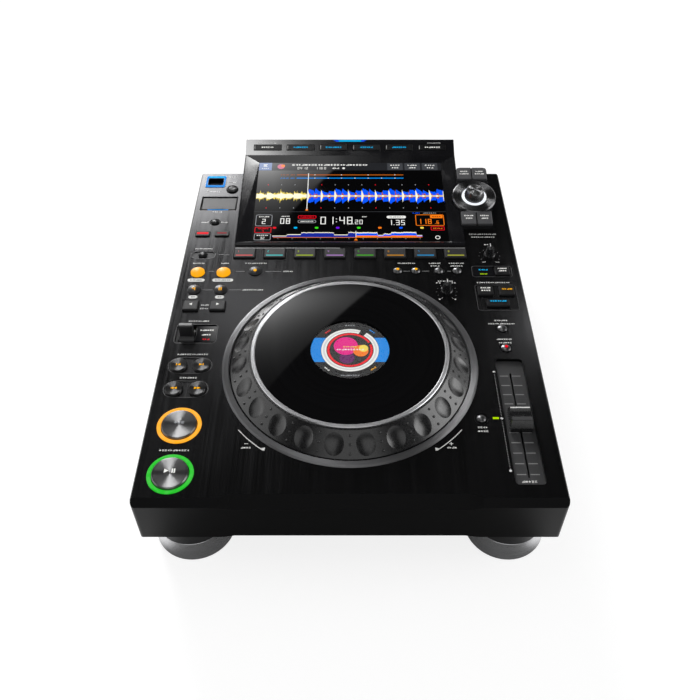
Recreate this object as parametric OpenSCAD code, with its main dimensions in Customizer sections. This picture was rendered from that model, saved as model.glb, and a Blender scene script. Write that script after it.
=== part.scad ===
// Full-size tabletop media player for DJs: a flat deck with a large jog wheel,
// a raised touch display, two columns of controls and four turned feet.
// Millimetres. X runs to the right, Y to the back, Z up; the origin is on the
// table under the middle of the player.

/* [Case] */
// Width of the deck beside the display
side_w = 48.75; // [48.5:0.05:52]
// Width of the deck beside the ring round the jog wheel
jog_side = 54; // [53.5:0.1:60]
// Depth of the deck in front of that ring
jog_front = 32; // [29:0.1:36]
// Depth of the deck between that ring and the display
jog_back = 45; // [44:0.5:50]
// Height of the deck above the table
deck_z = 93; // [90:1:102]
// Height of the upper case's front face, with its bevels
face_h = 52.8; // [49:0.1:56]
// Thickness of the moulded case walls
wall = 3; // [2.6:0.1:3.4]
// Radius of the case's upright corners
corner_r = 3; // [1.5:0.5:4]
// Depth of the bevel along the front edge, at the sides
bevel_run = 5.5; // [4:0.5:7]
// Drop of the bevel along the front edge, at the sides
bevel_drop = 5.4; // [4:0.1:7]
// Depth of the wider bevel in the middle of the front edge
nose_run = 9; // [8:0.5:10]
// Drop of the wider bevel in the middle of the front edge
nose_drop = 7.7; // [7:0.1:8.5]
// Width of the wider bevel
nose_w = 180; // [120:1:220]
// Width of the small bevel along the sides of the deck
side_bevel = 1; // [0.6:0.1:2]
// Inset of the bottom pan from the sides of the case
pan_inset = 6; // [5:0.5:8]
// Inset of the bottom pan behind the front face
pan_front_in = 18; // [16:0.5:22]
// Thickness of the pan's walls and floor
pan_t = 1.8; // [1.5:0.1:2.4]

/* [Feet] */
// Height of the bottom pan's floor above the table
foot_h = 26; // [24:0.5:30]
// Height of the pan's round bosses that the metal feet are screwed under
foot_boss_h = 3.5; // [2.5:0.5:5]
// Radius of a foot where it meets the table
foot_r = 33.5; // [28:0.5:35]
// Radius of a foot's turned flank at its top
foot_top_r = 31.5; // [26:0.5:33]
// Inset of the foot centres from the sides
foot_side = 33.7; // [30:0.1:38]
// Distance of the front foot centres from the front face
foot_front = 37.9; // [37:0.1:44]
// Distance of the rear foot centres from the rear wall
foot_rear = 42; // [40:1:60]
// Thickness of the rubber pad under a foot
pad_t = 3; // [2:0.5:4]

/* [Jog wheel] */
// Outer radius of the metal ring around the wheel
ring_r = 110.5; // [109:0.1:111.5]
// Width of that ring
ring_w = 6.2; // [5:0.1:7]
// Height of that ring above the deck
ring_h = 1.3; // [0.8:0.1:2]
// Gap between that ring and the wheel
rim_gap = 1; // [0.6:0.1:1.4]
// Height of the wheel's top edge above the deck
jog_h = 16; // [14:0.5:18]
// Radial width of the sloping rim
slope_w = 16.8; // [15:0.1:18]
// Height of the slope's foot above the deck
slope_foot = 0.8; // [0.4:0.1:1.5]
// Number of finger dimples around the rim
dimple_count = 24; // [18:1:26]
// Depth of a finger dimple
dimple_depth = 1.5; // [0.8:0.1:1.8]
// Width of a dimple around the rim
dimple_w = 15.6; // [11:0.1:16]
// Length of a dimple down the slope
dimple_l = 18.8; // [14:0.1:19]
// Thickness of the wheel's moulded walls
jog_wall = 3; // [2.6:0.1:3.4]
// Radius of the window over the middle display
window_r = 36; // [32:0.5:38]
// Thickness of the wheel's top plate and window
top_t = 2.4; // [1.6:0.1:3]
// Radial width of the bright ring round the top plate
trim_w = 3.6; // [3:0.1:4.5]
// Outer radius of the fixed post in the middle
post_r = 12; // [11:0.5:12.5]
// Radial size of the ball bearing's section
bearing_t = 8; // [7.5:0.1:9]
// Width of the ball bearing
bearing_w = 8; // [7:0.5:9]
// Number of bearing balls
ball_count = 12; // [8:1:14]
// Radius of a bearing ball
ball_r = 2.4; // [2:0.1:2.6]

/* [Display] */
// Width of the display housing
screen_w = 231.5; // [228:0.5:233]
// Length of the deck that the housing covers
screen_l = 125; // [124:0.5:127]
// Reach of the housing behind the rear wall
overhang = 30; // [27:0.5:33]
// Height of the housing's front lip above the deck
lip_h = 1.5; // [1.2:0.1:2.5]
// Height of the ridge in front of the key strip, above the deck
ridge_h = 17; // [16:0.5:18]
// Height of the housing's top rear edge above the deck
back_h = 25; // [23.5:0.5:27]
// Depth of the key strip, seen from above
strip_l = 18.5; // [17.5:0.5:20]
// Width of the glass
glass_w = 200; // [190:1:204]
// Length of the glass along its slope
glass_l = 122.5; // [118:0.5:123]
// Thickness of the glass panel
glass_t = 1.5; // [1:0.1:1.8]
// Height of the glass's front edge above the deck
glass_front_h = 0.6; // [0.4:0.1:0.9]
// Height of the glass's rear edge above the deck
glass_back_h = 12; // [11:0.5:13]
// Width of a key above the display
strip_key_w = 30.5; // [26:0.5:32]
// Depth of a key above the display
strip_key_l = 7.4; // [6:0.1:8.4]
// Spacing of the keys above the display
strip_pitch = 36.6; // [34.5:0.1:37]

/* [Buttons] */
// Gap between a button and its hole
button_gap = 0.35; // [0.25:0.05:0.5]
// Travel of the round buttons and keys
travel = 0.8; // [0.4:0.1:1]
// Radius of the play and cue buttons
play_r = 14.2; // [12:0.1:15]
// Radial width of the light rings around them
light_w = 3.2; // [2:0.1:3.6]
// Height of the play and cue buttons above the deck
play_h = 2.2; // [1.5:0.1:3]
// Radius of the search buttons
search_r = 7.4; // [6:0.1:7.8]
// Radius of the loop-in and loop-out buttons
loop_r = 6.7; // [5.5:0.1:7]
// Radius of the beat-loop buttons
beat_r = 6.2; // [5.5:0.1:7]
// Height of the domed buttons above the deck
dome_h = 3; // [2:0.1:3.5]
// Radius of the small round buttons
small_r = 4.2; // [3.5:0.1:4.6]
// Height of the small round buttons above the deck
small_h = 1.8; // [1.2:0.1:2.5]
// Width of a hot-cue key
cue_w = 21.5; // [18:0.1:23]
// Depth of a hot-cue key
cue_l = 14.5; // [12:0.1:15]
// Spacing of the hot-cue keys
cue_pitch = 29.86; // [27:0.01:30.4]
// Height of the rubber keys above the deck
key_h = 2; // [1.5:0.1:2.6]
// Edge bevel of the rubber keys
key_edge = 1; // [0.4:0.1:1.2]
// Size of the square keys beside the wheel
key_w = 14.5; // [13:0.1:15.5]
// Depth of the square keys beside the wheel
key_l = 12.6; // [11:0.1:13]
// Height of the jog and speed knobs above the deck
knob_h = 12; // [10:0.5:15]
// Radius of the jog and speed knobs
knob_r = 5.5; // [4.5:0.1:6]

/* [Layout] */
// Distance of the left column from the left side
left_in = 26.8; // [26:0.1:27.5]
// Spacing of the search buttons across the left column
search_pitch = 20; // [18:0.1:21]
// Spacing of the loop and jump buttons across the left column
loop_pitch = 25; // [23:0.1:26]
// Distance of the right column from the right side
right_in = 26.9; // [26:0.1:28]
// Distance of the play button from the front face
play_row = 26.5; // [25:0.1:28]
// Distance of the cue button from the front face
cue_row = 73; // [70:0.1:76]
// Distance of the search buttons from the front face
search_row = 111; // [110:0.1:113]
// Distance of the track buttons from the front face
track_row = 137.5; // [135:0.1:140]
// Distance of the direction lever from the front face
lever_row = 175.7; // [173:0.1:178]
// Distance of the beat-jump keys from the front face
jump_row = 210.5; // [207:0.1:212]
// Distance of the beat-loop buttons from the front face
beat_row = 233; // [230:0.1:235]
// Distance of the loop buttons from the front face
loop_row = 258; // [255:0.1:261]
// Distance of the time button from the front face
time_row = 284; // [281:0.1:287]
// Distance of the slip and quantize keys from the front face
slip_row = 316.5; // [313:0.1:319]
// Distance of the fader's middle position from the front face
fader_row = 78; // [76:0.1:80]
// Travel of the tempo fader from its middle to each end
fader_reach = 50; // [44:1:51]
// Width of the tempo fader's cap
cap_w = 17.5; // [15:0.1:18.5]
// Length of the tempo fader's cap
cap_l = 20; // [17:0.1:22]
// Height of the tempo fader's cap above the deck
cap_h = 9; // [7:0.5:12]
// Distance of the master-tempo button from the front face
master_row = 158; // [156:0.1:160]
// Distance of the tempo-range button from the front face
range_row = 182; // [179:0.1:184]
// Distance of the sync keys from the front face
sync_row = 231; // [229:0.1:233]
// Distance of the jog-mode key from the front face
mode_row = 259.5; // [258:0.1:262]
// Distance of the speed knob from the front face
speed_row = 282.5; // [281:0.1:286]
// Distance of the selector from the side of the display
selector_out = 14.45; // [14:0.05:16]
// Distance of the selector from the rear wall
selector_in = 60; // [58:0.1:62]
// Tilt of the selector
selector_tilt = 10.6; // [9:0.1:12]
// Radius of the plate around the selector knob
plate_r = 22.7; // [21:0.1:23]
// Radius of the selector knob
selector_r = 9; // [7.5:0.1:9.2]
// How much wider the foot of the selector knob is than its waist
selector_flare = 1.4; // [0.6:0.1:1.8]
// Height of the selector knob above its plate
selector_h = 9.5; // [8:0.5:12]
// Travel of the selector knob when it is pressed
selector_travel = 1; // [0.6:0.1:1.2]
// Height of the direction lever above the deck
lever_h = 12; // [10:0.5:14]

/* [Hidden] */
$fn = 48;
e = 0.01;

// Clearances
seat_gap = 0.15;      // between static pieces that drop into each other
run_gap = 0.05;       // round a shaft that turns in a bore
slide_gap = 0.3;      // between a moving piece and what it passes

// Case: as wide as the wider of its two rows, and as deep as all of them
case_w = 2 * max(screen_w / 2 + side_w, ring_r + jog_side);
case_d = jog_front + 2 * ring_r + jog_back + screen_l + overhang;
jog_row = jog_front + ring_r;
front_y = -case_d / 2;
back_y = case_d / 2 - overhang;
lip_y = back_y - screen_l;
side_x = case_w / 2;
face_z = deck_z - face_h;
under_z = deck_z - wall;
pan_top = face_z + 6;
pan_x = side_x - pan_inset;
pan_front = front_y + pan_front_in;
foot_top = foot_h - foot_boss_h;
nose_end = 10;        // length over which the wide bevel runs out
boss_r = 4;
screw_r = 1.5;
screw_len = 14;
screw_head_r = 3;
screw_head_h = 2;
screw_in = 12.5;      // from the case's outside to a screw
rear_screw_in = 7;
screw_at = [[side_x - screw_in, jog_row + front_y + 14.5], [side_x - screw_in, lip_y - 0.5],
            [nose_w / 3, front_y + 2 * screw_in], [screen_w / 2 + 2.25, back_y - rear_screw_in]];
screws = [for (p = screw_at, s = [-1, 1]) [s * p[0], p[1]]];
foot_x = side_x - foot_side;
foot_at = [for (s = [-1, 1], y = [front_y + foot_front, back_y - foot_rear]) [s * foot_x, y]];
foot_bore = 10;       // radius of the recess that hides the foot's screw
foot_clear = 0.8;     // gap between a foot's metal and the table
pad_in = 4.2;         // from the foot's edge to its pad
vent = [34, 4];
vent_pitch = 9;
vent_in = 75;
vents = 15;

// Jog wheel, heights from the deck and radii from the jog axis
jog = [0, front_y + jog_row];
ring_in = ring_r - ring_w;
wheel_r = ring_in - rim_gap;
slope_top_r = wheel_r - slope_w;
well_r = ring_in + 1.2;
well_depth = 8;
skirt = 5;
slope_angle = atan((jog_h - slope_foot) / slope_w);
dimple_r = wheel_r - slope_w / 2;
dimple_z = (jog_h + slope_foot) / 2;
// Hollow of a dimple: radius across it, with the rim's own roundness taken off, and along it
rim_round = dimple_r / sin(slope_angle);
hollow_across = 1 / (8 * dimple_depth / pow(dimple_w, 2) - 1 / rim_round);
hollow_along = pow(dimple_l / 2, 2) / (2 * dimple_depth);
seat_z = jog_h - top_t + 0.4;
web_t = jog_wall;
trim_out = slope_top_r - 1.8;
plate_out = trim_out - trim_w;
cup_r = window_r - 1.6;
cup_floor = 3;
hub_t = 4;
bearing_r = post_r + bearing_t;
bearing_z = -well_depth + 4;
ball_pitch = post_r + bearing_t / 2;
race_t = bearing_t / 2 - 1.3;
display_gap = 0.5;
display_t = 4;
display_z = seat_z - display_gap - display_t;
post_bore = post_r - 3.5;
post_flange_r = 30;
post_head_r = 20;
post_plate_t = 2.4;
cable_hole = 8;

// Display housing; y and z of the corners of its side outline
ridge_y = case_d / 2 - strip_l;
lip_z = deck_z + lip_h;
ridge_z = deck_z + ridge_h;
top_z = deck_z + back_h;
lip_step = 2.5;
slope_screen = atan((ridge_z - lip_z) / (ridge_y - lip_y - lip_step));
strip_angle = atan((top_z - ridge_z) / strip_l);
glass_angle = atan((glass_back_h - glass_front_h) / glass_l);
glass_y = lip_y + lip_step + 4;
bezel_in = 1;         // width of the flat edge left round the bezel
strip_mid = sqrt(pow(strip_l, 2) + pow(top_z - ridge_z, 2)) / 2 - 0.4;
strip_key_t = 3;
strip_key_h = 0.6;

// Controls: columns and rows
left_x = -side_x + left_in;
right_x = side_x - right_in;
fader_y = front_y + fader_row;
play_at = [left_x, front_y + play_row];
cue_at = [left_x, front_y + cue_row];
search_at = [for (s = [-1, 1]) [left_x - 0.3 + s * search_pitch / 2, front_y + search_row]];
track_at = [for (s = [-1, 1]) [left_x - 0.3 + s * search_pitch / 2, front_y + track_row]];
jump_at = [for (s = [-1, 1]) [left_x + 2.6 + s * loop_pitch / 2, front_y + jump_row]];
beat_at = [for (s = [-1, 1]) [left_x + 2.7 + s * loop_pitch / 2, front_y + beat_row]];
loop_at = [for (s = [-1, 1]) [left_x + 2.7 + s * loop_pitch / 2, front_y + loop_row]];
exit_at = [left_x + 45.9, front_y + loop_row + 1.5];
time_at = [left_x - 8.3, front_y + time_row];
slip_at = [for (s = [-1, 1]) [left_x - 2.6 + s * 9.75, front_y + slip_row]];
quantize_at = [left_x - 2.3, front_y + slip_row + 19.5];
stop_at = [left_x + 9.7, back_y - 29.5];
cue_y = lip_y - 12.5;
cues = [for (i = [0:7]) [(i - 3.5) * cue_pitch, cue_y]];
memory_y = cue_y - 25;
memory_x = [46.3, 64, 86.3, 104];
memory_at = [for (x = memory_x) [x, memory_y]];
reset_at = [right_x - 30.9, fader_y + 1.7];
master_at = [right_x - 0.1, front_y + master_row];
range_at = [right_x - 0.1, front_y + range_row];
sync_at = [[right_x - 9.6, front_y + sync_row], [right_x + 10.4, front_y + sync_row]];
key_sync_at = [right_x + 0.2, front_y + sync_row - 16.5];
mode_at = [right_x + 9.9, front_y + mode_row];
mode_window_at = [right_x - 7.9, front_y + mode_row];
speed_at = [right_x + 0.4, front_y + speed_row];
adjust_out = 16.3;    // from the ring to the jog-adjust knob
adjust_turn = 43.95;
adjust_at = jog + (ring_r + adjust_out) * [cos(adjust_turn), sin(adjust_turn)];
slip_w = 14.5;
slip_l = 8;
key_sync_w = 21.5;
key_sync_l = 9.5;
stop_r = 6.3;
small_recess = 0.6;
time_recess = [23, 10.6];
sync_recess = [37.5, 33.5];
mode_recess = [37.6, 14.6];
mode_window = [20, 12.4];
tempo_light = [5, 2];
tempo_light_at = [right_x - 19.1, fader_y + 2.2];
knob_hole = 3;

// Light rings and pill-shaped frames
light_t = 1.4;
light_in = play_r + 0.6;
light_out = light_in + light_w;
pill_w = 37;
pill_l = 17;
frame_depth = 0.5;

// Buttons and the boards under them
flange_w = 1;
flange_t = 1;
stem_r = 2;
board_z = deck_z - 18;
board_t = 1.6;
switch_h = 5;
switch_top = board_z + switch_h;

// Direction lever
lever_at = [left_x - 8.2, front_y + lever_row];
lever_w = 13.6;
drum_r = 8.5;
drum_z = deck_z + 1 - drum_r;
trunnion_r = 2;
lever_slot_l = 19;
lever_slot_w = 14.4;
window_at = [left_x + 9, front_y + lever_row + 0.2];
window_w = 17.5;
window_l = 19;
lever_frame = [36.5, 22.5];

// Tempo fader
tray_w = 23.7;
tray_rim = 2.5;
tray_l = 128;
tray_off = 3;
slot_w = 1.6;
tray_t = 1.5;
fader_stem = [1, 5];
slot_l = 2 * fader_reach + fader_stem[1] + 1;
body_w = 16;
body_h = 10;

// Selector: everything in the pod is built flat and then tilted about this point
selector_at = [screen_w / 2 + selector_out, back_y - selector_in];
pod_w = 33.2;
pod_front = -40.5;
pod_back = 42;
pod_round = 43;       // radius of the pod's curved ends
pod_z = deck_z + 14.2;
pod_key_t = 4;
pod_key_w = 15.1;
plate_t = 2.5;
white_r = 13;
shaft_r = 3;
shaft_l = 20;
encoder_r = 7;
encoder_top = 12;
encoder_hole = 12;

// Media slots
usb_at = [-side_x + 17.2, back_y - 15.5];
usb_frame = [21.5, 21];
usb_port = [17, 13];
usb_t = 1.5;
usb_depth = 6;
usb_shell = [13.1, 5.7];
usb_shell_t = 0.4;
usb_len = 16;
card_at = [-side_x + 25, back_y - 53.7];
card_pit = [37, 22.5];
card_depth = 9;
tub_wall = 2;
door_t = 1.6;
door_barrel = 1.5;
door_pin = 0.9;
card_slit = [25, 2.6];

// Rear sockets: x of each, seen from the front
panel_t = 2;
panel_y = back_y - 0.6;
socket_z = face_z + 27;
power_x = 132;
inlet_x = 92;
lan_x = 22;
usb_b_x = -8;
rca_x = [-58, -82, -98];
inlet_size = [27, 20];
inlet_hole = [24, 16.4];
inlet_depth = 17;
lan_size = [16, 13.6];
lan_hole = [11.8, 7.2];
usb_b_size = [12, 11];
usb_b_hole = [8.6, 7.8];
power_size = [11, 9];

// ---- plain shapes -------------------------------------------------------

module rounded(w, l, r) {
    square([w - 2 * r, l], center = true);
    square([w, l - 2 * r], center = true);
    for (x = [-1, 1], y = [-1, 1]) translate([x * (w / 2 - r), y * (l / 2 - r)]) circle(r);
}

module slab(w, l, r, z0, z1) {
    translate([0, 0, z0]) linear_extrude(z1 - z0) rounded(w, l, r);
}

module pill(w, l, z0, z1) {
    translate([0, 0, z0]) linear_extrude(z1 - z0) {
        square([w - l, l], center = true);
        for (s = [-1, 1]) translate([s * (w - l) / 2, 0]) circle(l / 2);
    }
}

// A ring about Z with the given radii and heights
module tube(r0, r1, z0, z1) {
    translate([0, 0, z0]) difference() {
        cylinder(r = r1, h = z1 - z0);
        translate([0, 0, -1]) cylinder(r = r0, h = z1 - z0 + 2);
    }
}

module box(x0, x1, y0, y1, z0, z1) {
    translate([x0, y0, z0]) cube([x1 - x0, y1 - y0, z1 - z0]);
}

// A disc with a bevelled edge that stands h above z = 0 and reaches down to z0
module turned_disc(r, z0, h, edge) {
    rotate_extrude() polygon([[0, z0], [r, z0], [r, h - edge], [r - edge, h], [0, h]]);
}

// A round button with a spherical top
module dome(r, z0, h, flat) {
    ball = (pow(r, 2) + pow(h - flat, 2)) / (2 * (h - flat));
    intersection() {
        translate([0, 0, z0]) cylinder(r = r, h = h - z0 + 1);
        union() {
            translate([0, 0, h - ball]) sphere(ball, $fn = 96);
            translate([0, 0, z0]) cylinder(r = r + 1, h = flat - z0);
        }
    }
}

// A rubber key with bevelled top edges
module key_cap(w, l, z0, h, r, edge) {
    intersection() {
        slab(w, l, r, z0, h);
        rotate([90, 0, 0]) translate([0, 0, -l / 2 - 1]) linear_extrude(l + 2)
            polygon([[-w / 2, z0 - 1], [w / 2, z0 - 1], [w / 2, h - edge], [w / 2 - edge, h],
                     [-w / 2 + edge, h], [-w / 2, h - edge]]);
        rotate([90, 0, 90]) translate([0, 0, -w / 2 - 1]) linear_extrude(w + 2)
            polygon([[-l / 2, z0 - 1], [l / 2, z0 - 1], [l / 2, h - edge], [l / 2 - edge, h],
                     [-l / 2 + edge, h], [-l / 2, h - edge]]);
    }
}

// ---- what every button has under the deck -------------------------------

// Flange that stops the button under the deck, and the stem to its switch
module round_root(r) {
    translate([0, 0, under_z - slide_gap - flange_t]) cylinder(r = r + flange_w, h = flange_t);
    stem(under_z - slide_gap - flange_t / 2);
}

module key_root(w, l, r) {
    slab(w + 2 * flange_w, l + 2 * flange_w, r, under_z - slide_gap - flange_t, under_z - slide_gap);
    stem(under_z - slide_gap - flange_t / 2);
}

module stem(z1) {
    z0 = switch_top + travel + run_gap;
    translate([0, 0, z0]) cylinder(r = stem_r, h = z1 - z0);
}

module round_button(at, r, h, edge) {
    translate([at[0], at[1], 0]) {
        translate([0, 0, deck_z]) turned_disc(r, -wall - slide_gap - flange_t / 2, h, edge);
        round_root(r);
    }
}

module dome_button(at, r, h, flat) {
    translate([at[0], at[1], 0]) {
        translate([0, 0, deck_z]) dome(r, -wall - slide_gap - flange_t / 2, h, flat);
        round_root(r);
    }
}

module deck_key(at, w, l, h, r, edge) {
    translate([at[0], at[1], 0]) {
        translate([0, 0, deck_z]) key_cap(w, l, -wall - slide_gap - flange_t / 2, h, r, edge);
        key_root(w, l, r);
    }
}

// Round and rectangular controls that pass through the deck: place and size
round_controls = [
    for (p = search_at) [p, search_r], for (p = track_at) [p, search_r],
    for (p = loop_at) [p, loop_r], for (p = beat_at) [p, beat_r], [exit_at, beat_r],
    [time_at, small_r], [quantize_at, small_r], [stop_at, stop_r],
    for (p = memory_at) [p, small_r], [reset_at, small_r - 0.5], [master_at, small_r],
    [range_at, small_r]
];
key_controls = [
    for (p = cues) [p, cue_w, cue_l], for (p = jump_at) [p, key_w, key_l],
    for (p = slip_at) [p, slip_w, slip_l], for (p = sync_at) [p, key_w, key_l],
    [key_sync_at, key_sync_w, key_sync_l], [mode_at, key_w, key_l]
];
key_r = 1.5;

// ---- case ----------------------------------------------------------------

// Block that takes the wide bevel off the front edge; up = 1 at the deck, -1 below
module nose_cut(z, up) {
    hull() {
        nose_slice(nose_w, nose_run, nose_drop, z, up);
        nose_slice(nose_w + 2 * nose_end, bevel_run, bevel_drop, z, up);
    }
}

module nose_slice(w, run, drop, z, up) {
    rotate([90, 0, 90]) translate([0, 0, -w / 2]) linear_extrude(w)
        polygon([[front_y + run, z], [front_y, z - up * drop], [front_y - 1, z - up * drop],
                 [front_y - 1, z + up], [front_y + run, z + up]]);
}

module case_block() {
    intersection() {
        rotate([90, 0, 90]) translate([0, 0, -side_x]) linear_extrude(case_w)
            polygon([[front_y + bevel_run, deck_z], [front_y, deck_z - bevel_drop],
                     [front_y, face_z + bevel_drop], [front_y + bevel_run, face_z],
                     [back_y, face_z], [back_y, deck_z]]);
        rotate([90, 0, 0]) translate([0, 0, -back_y]) linear_extrude(back_y - front_y)
            polygon([[-side_x, face_z], [side_x, face_z], [side_x, deck_z - side_bevel],
                     [side_x - side_bevel, deck_z], [-side_x + side_bevel, deck_z],
                     [-side_x, deck_z - side_bevel]]);
        translate([0, (front_y + back_y) / 2, 0])
            slab(case_w, back_y - front_y, corner_r, 0, deck_z + 1);
    }
}

// The space inside the upper case, open below and behind
module case_hollow() {
    rotate([90, 0, 90]) translate([0, 0, -side_x + wall]) linear_extrude(case_w - 2 * wall)
        polygon([[front_y + nose_run + wall / 3, under_z],
                 [front_y + wall, under_z - nose_drop * (1 - 2 * wall / 3 / nose_run)],
                 [front_y + wall, face_z + nose_drop + wall],
                 [front_y + nose_run + wall, face_z - 1],
                 [back_y + 1, face_z - 1], [back_y + 1, under_z]]);
}

module case_bosses() {
    for (p = screws) translate([p[0], p[1], foot_h + pan_t])
        cylinder(r = boss_r, h = under_z - foot_h - pan_t + e);
    for (p = board_posts) translate([p[0], p[1], board_z])
        cylinder(r = post_size, h = under_z - board_z + e);
}

module deck_holes() {
    for (c = round_controls) translate([c[0][0], c[0][1], deck_z - wall - 1])
        cylinder(r = c[1] + button_gap, h = wall + 2);
    for (c = key_controls) translate([c[0][0], c[0][1], 0])
        slab(c[1] + 2 * button_gap, c[2] + 2 * button_gap, key_r, deck_z - wall - 1, deck_z + 1);
    for (p = [play_at, cue_at]) translate([p[0], p[1], 0]) {
        translate([0, 0, deck_z - wall - 1]) cylinder(r = play_r + button_gap, h = wall + 2);
        translate([0, 0, deck_z - light_t]) cylinder(r = light_out + seat_gap, h = light_t + 1);
    }
    for (p = [speed_at, adjust_at]) translate([p[0], p[1], deck_z - wall - 1])
        cylinder(r = knob_hole + button_gap, h = wall + 2);
}

module deck_recesses() {
    for (row = [search_row, track_row]) translate([left_x - 0.3, front_y + row, 0])
        pill(pill_w, pill_l, deck_z - frame_depth, deck_z + 1);
    translate([left_x - 0.2, front_y + lever_row, 0])
        slab(lever_frame[0], lever_frame[1], 2, deck_z - 2 * frame_depth, deck_z + 1);
    translate([time_at[0] + 0.5, time_at[1], 0])
        slab(time_recess[0], time_recess[1], 2, deck_z - small_recess, deck_z + 1);
    for (p = [master_at, range_at, reset_at, memory_at[2], quantize_at])
        translate([p[0], p[1], deck_z - small_recess]) cylinder(r1 = small_r + 1, r2 = small_r + 2.6, h = 2);
    translate([right_x + 0.2, front_y + sync_row - 8.2, 0])
        slab(sync_recess[0], sync_recess[1], 3, deck_z - frame_depth, deck_z + 1);
    translate([right_x, front_y + mode_row, 0])
        slab(mode_recess[0], mode_recess[1], 2.5, deck_z - frame_depth, deck_z + 1);
}

module deck_openings() {
    // Jog well and its bearing seat
    translate([jog[0], jog[1], 0]) {
        translate([0, 0, deck_z - well_depth]) cylinder(r = well_r, h = well_depth + 1);
        translate([0, 0, deck_z - 2]) cylinder(r = ring_r + seat_gap, h = 3);
        translate([0, 0, deck_z - well_depth - wall - 1]) cylinder(r = cable_hole, h = wall + 2);
    }
    // Display housing's seat
    box(-screen_w / 2 + 3, screen_w / 2 - 3, lip_y + 4, back_y - 4, under_z - 1, deck_z + 1);
    // Lever slot
    box(lever_at[0] - lever_slot_w / 2, lever_at[0] + lever_slot_w / 2,
        lever_at[1] - lever_slot_l / 2, lever_at[1] + lever_slot_l / 2, under_z - 1, deck_z + 1);
    for (p = [[window_at, window_w, window_l], [mode_window_at, mode_window[0], mode_window[1]]])
        translate([p[0][0], p[0][1], 0])
            slab(p[1] + 2 * seat_gap, p[2] + 2 * seat_gap, 1, deck_z - 2, deck_z + 1);
    // Tempo light
    translate([tempo_light_at[0], tempo_light_at[1], 0])
        slab(tempo_light[0], tempo_light[1], 0.4, deck_z - 1, deck_z + 1);
    // Fader opening
    translate([right_x, fader_y + tray_off, 0]) slab(tray_w, tray_l, 3, under_z - 1, deck_z + 1);
    // Selector pod's shaft
    translate([selector_at[0], selector_at[1], under_z - 1]) cylinder(r = encoder_hole, h = wall + 2);
}

module tub(at, size, depth) {
    translate([at[0], at[1], 0])
        slab(size[0] + 2 * tub_wall, size[1] + 2 * tub_wall, 2, deck_z - depth - tub_wall, deck_z - e);
}

module lever_brackets() {
    for (s = [-1, 1]) translate([lever_at[0] + s * (lever_slot_w / 2 + 1.5), lever_at[1], 0]) {
        box(-1.5, 1.5, -5, 5, drum_z, under_z + e);
        translate([-1.5, 0, drum_z]) rotate([0, 90, 0]) cylinder(r = 5, h = 3);
    }
}

module media_cuts() {
    translate([usb_at[0], usb_at[1], 0]) {
        slab(usb_frame[0] + 2 * seat_gap, usb_frame[1] + 2 * seat_gap, 1.5, deck_z - usb_t, deck_z + 1);
        slab(usb_port[0], usb_port[1], 1, deck_z - usb_depth, deck_z);
        slab(usb_shell[0] + 2 * seat_gap, usb_shell[1] + 2 * seat_gap, 0.3, deck_z - 20, deck_z);
    }
    translate([card_at[0], card_at[1], 0]) {
        slab(card_pit[0], card_pit[1], 1.5, deck_z - card_depth, deck_z + 1);
        slab(card_slit[0] + 1, card_slit[1] + 0.6, 0.4, deck_z - 20, deck_z);
    }
    // Bores of the card door's hinge pins
    translate([card_at[0] - card_pit[0] / 2 - 1, door_axis[0], door_axis[1]]) rotate([0, 90, 0])
        cylinder(r = door_pin + run_gap, h = card_pit[0] + 2);
}

module upper_case() {
    color("#17181a") difference() {
        union() {
            difference() {
                case_block();
                nose_cut(deck_z, 1);
                nose_cut(face_z, -1);
                case_hollow();
            }
            case_bosses();
            translate([jog[0], jog[1], deck_z - well_depth - wall])
                cylinder(r = well_r + wall, h = well_depth + wall - e);
            tub(usb_at, usb_port, usb_depth);
            tub(card_at, card_pit, card_depth);
            lever_brackets();
        }
        deck_holes();
        deck_recesses();
        deck_openings();
        media_cuts();
        translate([lever_at[0] - 20, lever_at[1], drum_z]) rotate([0, 90, 0])
            cylinder(r = trunnion_r + run_gap, h = 40);
        for (p = screws) translate([p[0], p[1], foot_h])
            cylinder(r = screw_r + run_gap, h = screw_len + 1);
    }
}

module lower_case() {
    pan_l = back_y - 1 - pan_front;
    pan_mid = pan_front + pan_l / 2;
    inner_x = side_x - wall - seat_gap;
    color("#1b1b1c") difference() {
        union() {
            translate([0, pan_mid, 0]) slab(2 * pan_x, pan_l, 4, foot_h, pan_top);
            // Rim that closes the joint under the upper case
            box(-inner_x, inner_x, front_y + nose_run + wall + seat_gap, back_y - 1,
                pan_top - 5, pan_top - 5 + pan_t);
            for (p = foot_at) translate([p[0], p[1], foot_top])
                cylinder(r = foot_top_r - 0.2, h = face_z - seat_gap - foot_top);
        }
        translate([0, pan_mid, 0])
            slab(2 * (pan_x - pan_t), pan_l - 2 * pan_t, 3, foot_h + pan_t, pan_top + 1);
        for (p = foot_at) translate([p[0], p[1], foot_h + pan_t])
            cylinder(r = foot_top_r - 0.2 - pan_t, h = face_z);
        for (p = screws) translate([p[0], p[1], foot_h - 1]) cylinder(r = screw_r + 0.3, h = pan_t + 2);
        // Cooling slots in the floor
        for (i = [0:vents - 1]) translate([(i - (vents - 1) / 2) * vent_pitch, back_y - vent_in, 0])
            rotate([0, 0, 90]) pill(vent[0], vent[1], foot_h - 1, foot_h + pan_t + 1);
    }
    color("#1b1b1c") for (p = main_posts) translate([p[0], p[1], foot_h + pan_t])
        tube(1.2, 3, 0, main_board_z - foot_h - pan_t);
}

module case_screws() {
    color("#3a3b3d") for (p = screws) translate([p[0], p[1], foot_h]) {
        translate([0, 0, -screw_head_h])
            cylinder(r1 = screw_head_r - 0.5, r2 = screw_head_r, h = screw_head_h);
        translate([0, 0, -e]) cylinder(r = screw_r, h = screw_len);
    }
}

// ---- feet ----------------------------------------------------------------

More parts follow.
